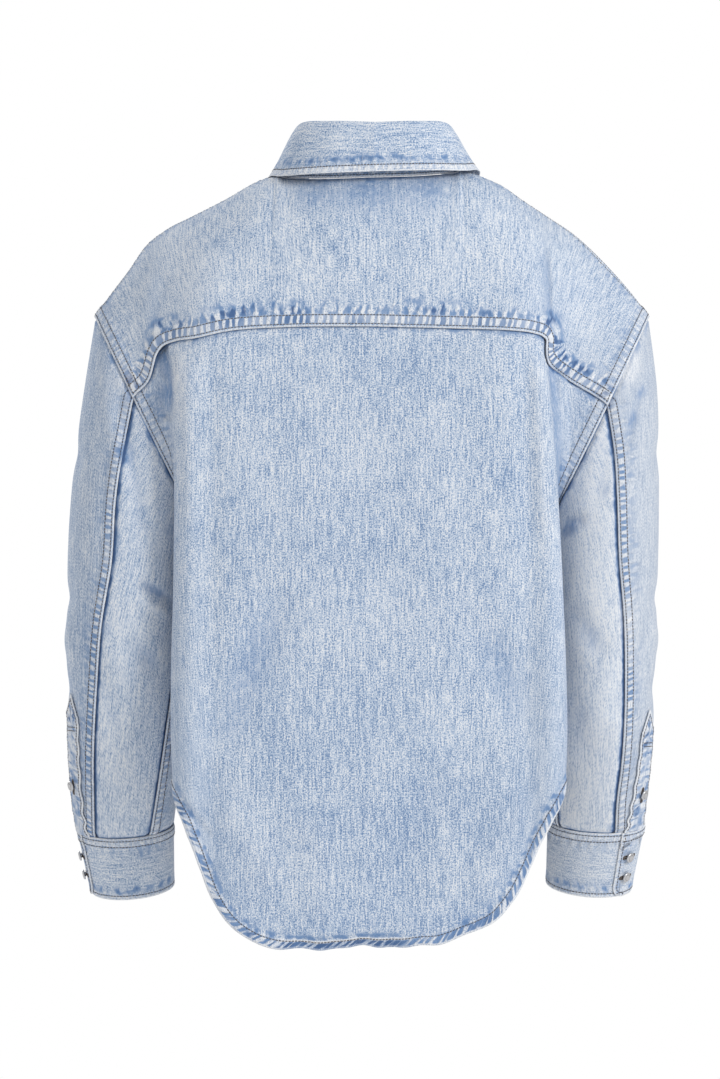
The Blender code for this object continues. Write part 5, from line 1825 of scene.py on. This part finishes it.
def band_grid(side):
    """A pointed strip up the sleeve from the cuff: each column is shorter by its share of the point.
    The rows of thread have drawn its edges into waves: the half width plus a sine of the way up."""
    table = SLEEVE[side]
    fall = float(table.at("out_z", PLACKET_RING) - table.at("out_z", LAST_RING)) / (LAST_RING - PLACKET_RING)
    across = spaced(2 * SLEEVE_PLACKET_HALF_WIDTH, coarse=1.3, fine=0.9, start=8.0, end=8.0) * 2 - 1
    rows = spaced(SLEEVE_PLACKET_LENGTH[side], coarse=1.8, start=12.0, end=6.0)
    share, up = np.meshgrid(across, 1 - rows)
    length = SLEEVE_PLACKET_LENGTH[side] - SLEEVE_PLACKET_POINT * np.abs(share)
    ring = LAST_RING - PLACKET_FOOT - up * length / fall
    width = (table.at("out_x", ring) - table.at("in_x", ring)) / 2
    middle = SLEEVE_PLACKET_FOOT_DEG[side] * (1 - up) + SLEEVE_PLACKET_POINT_DEG[side] * up
    angle = np.radians(middle)
    speed = np.hypot(width * np.sin(angle), table.at("half_y", ring) * np.cos(angle))
    pitch, depth = BAND_SCALLOP[side]
    waves = np.sin(2 * np.pi * up * length / pitch + np.sin(up * length / 17.0) + share) * depth
    across = share * (SLEEVE_PLACKET_HALF_WIDTH + waves * (1 - 0.7 * up))
    degrees = middle + np.degrees(across / speed)
    points = ring_point(table, ring, degrees, WALL + PLACKET_LIFT)
    return mirrored(points, side), mirrored(ring_middle(table, ring), side), across


cuffs, bands = {}, {}
for side in SIGN:
    points, middles = cuff_grid(side)
    cuffs[side] = Panel(f"cuff_cloth_{side}", pushed_out(points, top=1.0), middles)
    points, middles, across = band_grid(side)
    bands[side] = Panel(f"sleeve_band_{side}", points, middles)
    bands[side].u, bands[side].width = across, float(np.ptp(across))
    print(side, "cuff", cuffs[side].points.shape, "band", bands[side].points.shape)

# %% Sew the cuffs and bands
CUFF_TOP = {"rows": (3.0, 9.0), "height": 0.9, "contrast": 0.3, "pale": 0.45}
CUFF_MARKS = {"contrast": 0.35, "pale": 0.45, "halo": 0.3, "marks": (7.0, 13.0, 12.0)}
BAND_ROWS = {"rows": (2.6,), "height": 0.4, "pale": 0.9, "halo": 0.9}
for side in SIGN:
    seed = 60.0 if side == "left" else 70.0
    cloth_piece(
        cuffs[side],
        [
            ("top", "lapped", {**CUFF_TOP, "seed": seed}),
            ("bottom", "lapped", {**TOP_ROW, "seed": seed + 0.6, **CUFF_MARKS}),
            ("first", "lapped", {**TOP_ROW, "seed": seed + 0.9}),
        ],
        f"cuff_{side}",
        grain="across",
        seed=seed,
        shift=0.06,
        faded=SLEEVE_FADED[side] * CUFF_FADED,
        rests_on=[f"sleeve_outer_cloth_{side}", f"sleeve_under_cloth_{side}"],
    )
    cloth_piece(
        bands[side],
        [
            ("first", "lapped", {**BAND_ROWS, "seed": seed + 2}),
            ("last", "lapped", {**BAND_ROWS, "seed": seed + 3}),
            ("top", "lapped", {**BAND_ROWS, "seed": seed + 4}),
        ],
        f"sleeve_placket_{side}",
        seed=seed + 5,
        shift=0.32,
        faded=0.2,
        rests_on=[f"sleeve_outer_cloth_{side}"],
    )

# %% [markdown]
# ## The collar
#
# A stiff stand runs round the neck, and the turned-down collar rolls over its top edge and falls to
# wide points at the front. Both have their grain running round. One row of thread follows the
# collar's lower edge.

# %% Stand and fall
COLLAR_SHIFT_X = -4.0
COLLAR_ROLL = 9.0
ROLL_OUT, ROLL_DROP = 5.0, 5.0
STAND_LAP = 0.07
STAND_LAP_FROM = 0.8
STAND_SIZE = 0.97
STAND_HEIGHT = 38.0
FALL_DEPTH = 82.0
NECK_MIDDLE = np.array([0.0, -10.0, 0.0])
FALL_STATIONS = (0.0, 0.16, 0.36, 1.0)
STAND_RISE = 0.9
SEAM_GAP = 0.3


def stand_top(side, around):
    """The upper edge of the collar stand, a roll below the collar's crest and just inside it."""
    past = np.where(around > 1, 2 - around, around)
    flip = np.where(around > 1, -1, 1)
    x = COLLAR.at("crest_x", past) * flip * STAND_SIZE + SIGN[side] * COLLAR_SHIFT_X
    y = COLLAR.at("crest_y", past) * STAND_SIZE
    return stacked(x, y, COLLAR.at("crest_z", past) - COLLAR_ROLL)


def stand_half(side, rows):
    """The stand from centre back to past centre front, where the right end goes inside the left one."""
    high = 1 + STAND_LAP / 2
    share = stations(lambda t: neck_point(side, t * high), 0, 1, coarse=2.2, end=6.0)
    base = neck_point(side, share * high) + UPRIGHT * STAND_RISE
    rise = (1 - rows)[:, None, None]
    points = base * (1 - rise) + stand_top(side, share * high) * rise
    if side == "right":
        inwards = unit((NECK_MIDDLE - points) * LEVEL)
        points = points + inwards * ((WALL + LAP_GAP) * ramp(STAND_LAP_FROM, 1.0, share))[None, :, None]
    return points


def fall_half(side, rows):
    """The turned-down collar: up from the stand's top edge, over the roll, and down to its lower edge."""

    def lower_line(t):
        return np.stack([COLLAR.at(f"edge_{axis}", t) for axis in "xyz"], axis=-1)

    around = stations(lower_line, 0, COLLAR.stations[-1], coarse=2.4, end=SEAM_ZONE)
    seam = stand_top(side, around) + UPRIGHT * (WALL + SEAM_GAP)
    crest = np.stack([COLLAR.at(f"crest_{axis}", around) for axis in "xyz"], axis=-1)
    edge = lower_line(around)
    edge[:, 2] += SIGN[side] * COLLAR_TILT * edge[:, 0]
    for line in (crest, edge):
        line[:, 0] += SIGN[side] * COLLAR_SHIFT_X
    shoulder_of_roll = crest + unit((edge - crest) * LEVEL) * ROLL_OUT - UPRIGHT * ROLL_DROP
    knots = np.array([seam, crest, shoulder_of_roll, edge])
    at = np.broadcast_to(rows[:, None, None], (len(rows),) + seam.shape)
    return along(FALL_STATIONS, knots[:, None], at)


stand_points, stand_middle = body_grid(stand_half, spaced(STAND_HEIGHT, coarse=2.0, end=10.0))
fall_points, fall_middle = body_grid(fall_half, spaced(FALL_DEPTH, coarse=1.9, end=12.0))
about_neck = NECK_MIDDLE * LEVEL + stand_points * UPRIGHT
stand = Panel("collar_stand_cloth", pushed_out(stand_points, bottom=1.2), about_neck, stand_middle)
about_roll = NECK_MIDDLE + COLLAR.at("crest_z", 0.5) * UPRIGHT / 2
fall = Panel("collar_cloth", fall_points, about_roll, fall_middle)
COLLAR_ROW = {"rows": (7.0,), "height": 0.3}
FALL_MARKS = {"contrast": 0.3, "halo": 0.35, "pale": 0.9, "marks": (11.5, 16.5, 13.0)}
cloth_piece(
    stand,
    [("bottom", "lapped", {"rows": (2.4,), "height": 0.5, "seed": 81.0, "halo": 0.6})],
    "collar_stand",
    grain="across",
    seed=80.0,
    shift=-0.12,
    rests_on=["yoke_cloth", "front_left_cloth", "front_right_cloth"],
)
cloth_piece(
    fall,
    [
        ("bottom", "lapped", {**COLLAR_ROW, "seed": 83.0, **FALL_MARKS}),
        ("first", "lapped", {**COLLAR_ROW, "seed": 84.0}),
        ("last", "lapped", {**COLLAR_ROW, "seed": 85.0}),
    ],
    "collar_fall",
    grain="across",
    seed=82.0,
    shift=0.02,
    rests_on=["collar_stand_cloth"],
)

# %% [markdown]
# ## Buttons and buttonholes
#
# The metal buttons are turned: a domed cap with a shallow dish and a bead round its rim, crimped over
# a short shank. A turned form is one outline spun round its axis. Each button stands where the packed
# one does, lifted a little off the cloth along its axis.

# %% Buttons
BUTTON_RADIUS = 5.0
BUTTON_HEIGHT = 3.6
FRONT_BUTTON_SIZE = 1.36
BUTTON_SPOKES = 40
BUTTON_OUTLINE = [
    (0, 0.93), (0.12, 0.935), (0.3, 0.95), (0.42, 0.97), (0.5, 0.975), (0.56, 0.945), (0.6, 0.9),
    (0.66, 0.895), (0.74, 0.91), (0.83, 0.89), (0.92, 0.8), (0.98, 0.68), (1, 0.56), (0.985, 0.46),
    (0.93, 0.4), (0.82, 0.38), (0.55, 0.37), (0.46, 0.34), (0.43, 0.24), (0.43, 0), (0, 0),
]
BUTTON_LIFT = 0.7
BRIGHT_METAL, DULL_METAL, DARK_METAL = srgb(196, 196, 198), srgb(150, 148, 146), srgb(96, 94, 94)


def metal_finish():
    """Brushed nickel-silver: dark in its turned grooves, with soft rings of varying roughness."""
    finish = Finish("brushed_metal", Metallic=1.0, Roughness=0.34)
    around, out = finish.place("turned")
    rings = finish.noise(around * 3.0, out * 40.0, 0.0, 2.0)
    dark = out.inside(0.55, 0.66, 0.03) + (1 - out.step(0.0, 0.08)) * 0.2
    tone = finish.mix(dark.clamped() * 0.6, BRIGHT_METAL, DARK_METAL)
    finish.feed("Base Color", finish.mix(rings.step(0.5, 0.8) * 0.3, tone, DULL_METAL))
    finish.feed("Roughness", rings * 0.2 + 0.24)
    return finish.material


METAL = metal_finish()


def button_frame(node):
    """(foot, axis) of a packed button: its axis is the direction in which it is thinnest, away from
    the garment's middle, and its foot is the lowest corner along it."""
    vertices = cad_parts[node].data.vertices
    corners = np.empty(len(vertices) * 3)
    vertices.foreach_get("co", corners)
    corners = corners.reshape(-1, 3) / MM
    middle = corners.mean(axis=0)
    axis = np.linalg.svd(corners - middle)[2][2]
    along_axis = (corners - middle) @ axis
    wide = np.linalg.norm(corners - middle - along_axis[:, None] * axis, axis=1)
    if along_axis[wide > wide.max() * 0.9].mean() < (along_axis.max() + along_axis.min()) / 2:
        axis, along_axis = -axis, -along_axis
    return middle + axis * along_axis.min(), axis


def turned_button(name, node, size=1.0):
    """The outline spun round: (r cos a, r sin a, h) for each corner of the outline and each angle a."""
    foot, axis = button_frame(node)
    outline = np.array(BUTTON_OUTLINE)
    turn = np.linspace(0, 1, BUTTON_SPOKES + 1)
    radius, height = outline[:, :1] * BUTTON_RADIUS * size, outline[:, 1:] * BUTTON_HEIGHT * size
    side = unit(np.cross(axis, UPRIGHT))
    angle = 2 * np.pi * turn
    spun = stacked(radius * np.cos(angle), radius * np.sin(angle), height)
    points = foot + axis * BUTTON_LIFT + spun @ np.array([side, np.cross(axis, side), axis])
    mesh = surface_mesh(name, points, quads(len(outline), len(turn), 1.0))
    place = np.stack(np.broadcast_arrays(turn, outline[:, :1]), axis=-1)
    give_place(mesh, "turned", place.reshape(-1, 2))
    mesh.materials.append(METAL)
    piece = stand_in_scene(name, mesh)
    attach(piece, "root")
    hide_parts(node)


BUTTONS = [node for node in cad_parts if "button" in node]
for node in BUTTONS:
    turned_button(f"{node}_turned", node, FRONT_BUTTON_SIZE if node.startswith("front") else 1.0)
print("buttons:", len(BUTTONS))

# %% [markdown]
# ### Buttonholes
#
# A buttonhole is worked with close stitches round a slit, a little longer than the button is wide.
# Here it is a flattened cord laid on the cloth round a long oval. To lie on curved cloth, it is set
# out on the panel's own flat cut, and each of its points is then looked up on the sewn panel.

# %% Buttonholes
HOLE_LENGTH, HOLE_WIDTH = 15.0, 2.3
HOLE_CORD = (1.0, 0.45)
HOLE_LIFT = 0.15
HOLE_CORNERS = 44
HOLE_SIDES = 8


def on_panel(panel, u, v):
    """Points and normals of a sewn panel at places on its cut: a plane is fitted through the dozen
    corners nearest on the cut, the nearer ones counting for more, and read off at the place."""
    flat = np.stack([panel.u.ravel(), panel.v.ravel()], axis=1)
    wanted = np.stack([np.ravel(u), np.ravel(v)], axis=1)
    gaps = ((wanted[:, None] - flat[None]) ** 2).sum(axis=2)
    nearest = np.argpartition(gaps, 12, axis=1)[:, :12]
    weight = np.exp(-np.take_along_axis(gaps, nearest, axis=1) / 3.0) + 1e-4
    terms = np.concatenate([np.ones(nearest.shape + (1,)), flat[nearest] - wanted[:, None]], axis=-1)
    values = np.concatenate([panel.points.reshape(-1, 3), panel.normals().reshape(-1, 3)], axis=1)[nearest]
    square = np.einsum("nk,nki,nkj->nij", weight, terms, terms)
    fitted = np.linalg.solve(square, np.einsum("nk,nki,nkj->nij", weight, terms, values))[:, 0]
    return fitted[:, :3], unit(fitted[:, 3:])


def place_on_cut(panel, node):
    """(u, v) of the panel's corner nearest to a button's foot."""
    foot = button_frame(node)[0]
    nearest = np.linalg.norm(panel.points - foot, axis=-1).argmin()
    return panel.u.ravel()[nearest], panel.v.ravel()[nearest]


def buttonhole(panel, node, upright, shift):
    """(corners, faces) of the cord: a long oval of half circles and straights, with an elliptical
    cross-section of cos b across and sin b up."""
    u0, v0 = place_on_cut(panel, node)
    turn = np.linspace(0, 2 * np.pi, HOLE_CORNERS, endpoint=False)
    straight = (HOLE_LENGTH - HOLE_WIDTH) / 2
    long = np.cos(turn) * HOLE_WIDTH / 2 + np.clip(np.cos(turn) * 3, -1, 1) * straight + shift
    wide = np.sin(turn) * HOLE_WIDTH / 2
    u, v = (u0 + wide, v0 + long) if upright else (u0 + long, v0 + wide)
    points, normals = on_panel(panel, u, v)
    tangent = np.roll(points, -1, axis=0) - np.roll(points, 1, axis=0)
    across = unit(np.cross(normals, tangent))
    ring = np.linspace(0, 2 * np.pi, HOLE_SIDES, endpoint=False)
    sideways, upwards = HOLE_CORD[0] * np.cos(ring), HOLE_CORD[1] * np.sin(ring) + HOLE_LIFT
    cord = points[:, None] + across[:, None] * sideways[:, None] + normals[:, None] * upwards[:, None]
    index = np.arange(HOLE_CORNERS * HOLE_SIDES).reshape(HOLE_CORNERS, HOLE_SIDES)
    after, beside = np.roll(index, -1, axis=0), np.roll(index, -1, axis=1)
    faces = np.stack([index, after, np.roll(after, -1, axis=1), beside], axis=-1).reshape(-1, 4)
    return cord.reshape(-1, 3), faces[:, ::-1]


HOLES = [(band, f"front_button_{number}", True, 0.0) for number in range(1, 8)]
HOLES.append((stand, "stand_button", False, 0.0))
for side in SIGN:
    HOLES += [(cuffs[side], f"cuff_button_{side}_{number}", False, 2.0) for number in (1, 2)]
    HOLES.append((bands[side], f"placket_button_{side}", True, 0.0))
thread_piece("buttonholes", [buttonhole(*hole) for hole in HOLES])
print("buttonholes:", len(HOLES))

# %% [markdown]
# ### Stitched boxes
#
# A sleeve band is sewn across below its point too, where the slit under it ends and would otherwise
# tear. Two level rows close a box with the rows along the band's edges.

# %% Stitched boxes on the sleeve bands
BOX_BELOW_POINT = (33.0, 36.5)
BAND_EDGE_ROW = 2.4


def across_band(panel, down):
    """A level row across a sleeve band at a distance below its point, ending at the edge rows."""
    drop = panel.points[..., 2].max() - panel.points[..., 2]
    edge = np.minimum(panel.far["first"], panel.far["last"])[..., None]
    points, normals, edge = line_where((panel.points, panel.normals(), edge), drop, down)
    within = edge[:, 0] > BAND_EDGE_ROW
    return points[within], normals[within]


for side in SIGN:
    rows = [across_band(bands[side], down) for down in BOX_BELOW_POINT]
    thread_piece(f"box_stitches_{side}", [bars_along(*row) for row in rows])
print("boxes end", BOX_BELOW_POINT, "mm below the points")

# %% [markdown]
# ## Floor, light and camera
#
# The garment is held up by nothing that shows, over a wide pale floor. A large soft light to one
# side models the pleats, and an even white room fills the rest. The camera stands behind the wearer
# at the height of the chest, far off with a long lens, so that edges stay upright.

# %% Floor
FLOOR_Z = -1.2
FLOOR_RADIUS = 3.0


def floor_disc():
    """A pale disc: a circle of 64 corners."""
    angle = np.linspace(0, 2 * np.pi, 64, endpoint=False)
    corners = stacked(FLOOR_RADIUS * np.cos(angle), FLOOR_RADIUS * np.sin(angle), FLOOR_Z)
    mesh = bpy.data.meshes.new("floor")
    mesh.from_pydata(corners.tolist(), [], [list(range(64))])
    finish = Finish("floor_paper", Base_Color=(0.9, 0.9, 0.9, 1.0), Roughness=0.95)
    mesh.materials.append(finish.material)
    return stand_in_scene("floor", mesh)


floor_disc()
print("floor at", FLOOR_Z, "m")

# %% Light
SKY = 0.72
LIT_POINT = (0.0, 0.0, -0.35)


def room(world):
    """A white room: what the camera sees is pure white, and what lights the cloth is a little dimmer."""
    world.use_nodes = True
    tree = world.node_tree
    backdrop = tree.nodes["Background"]
    seen = tree.nodes.new("ShaderNodeLightPath")
    strength = tree.nodes.new("ShaderNodeMapRange")
    strength.inputs["To Min"].default_value = SKY
    strength.inputs["To Max"].default_value = 1.0
    tree.links.new(seen.outputs["Is Camera Ray"], strength.inputs["Value"])
    tree.links.new(strength.outputs[0], backdrop.inputs["Strength"])
    backdrop.inputs["Color"].default_value = (1.0, 1.0, 1.0, 1.0)


def soft_light(name, place, size, power):
    """An area light aimed at the middle of the garment."""
    light = bpy.data.lights.new(name, "AREA")
    light.shape = "DISK"
    light.size = size
    light.energy = power
    lamp = stand_in_scene(name, light)
    lamp.location = place
    lamp.rotation_euler = (Vector(LIT_POINT) - Vector(place)).to_track_quat("-Z", "Y").to_euler()


world = bpy.data.worlds.new("room")
bpy.context.scene.world = world
room(world)
soft_light("window", place=(-3.2, 3.0, 1.6), size=1.8, power=105.0)
soft_light("front_window", place=(2.6, -3.4, 1.8), size=2.2, power=60.0)
bpy.context.scene.view_settings.view_transform = "Standard"

# %% Camera
CAMERA_PLACE = (0.0096, 5.04, -0.347)
CAMERA_LENS = 173.8
camera = bpy.data.cameras.new("camera")
camera.lens = CAMERA_LENS
camera.clip_end = 20.0
eye = stand_in_scene("camera", camera)
eye.location = CAMERA_PLACE
eye.rotation_euler = (np.pi / 2, 0.0, np.pi)
bpy.context.scene.camera = eye
print("camera", CAMERA_PLACE)
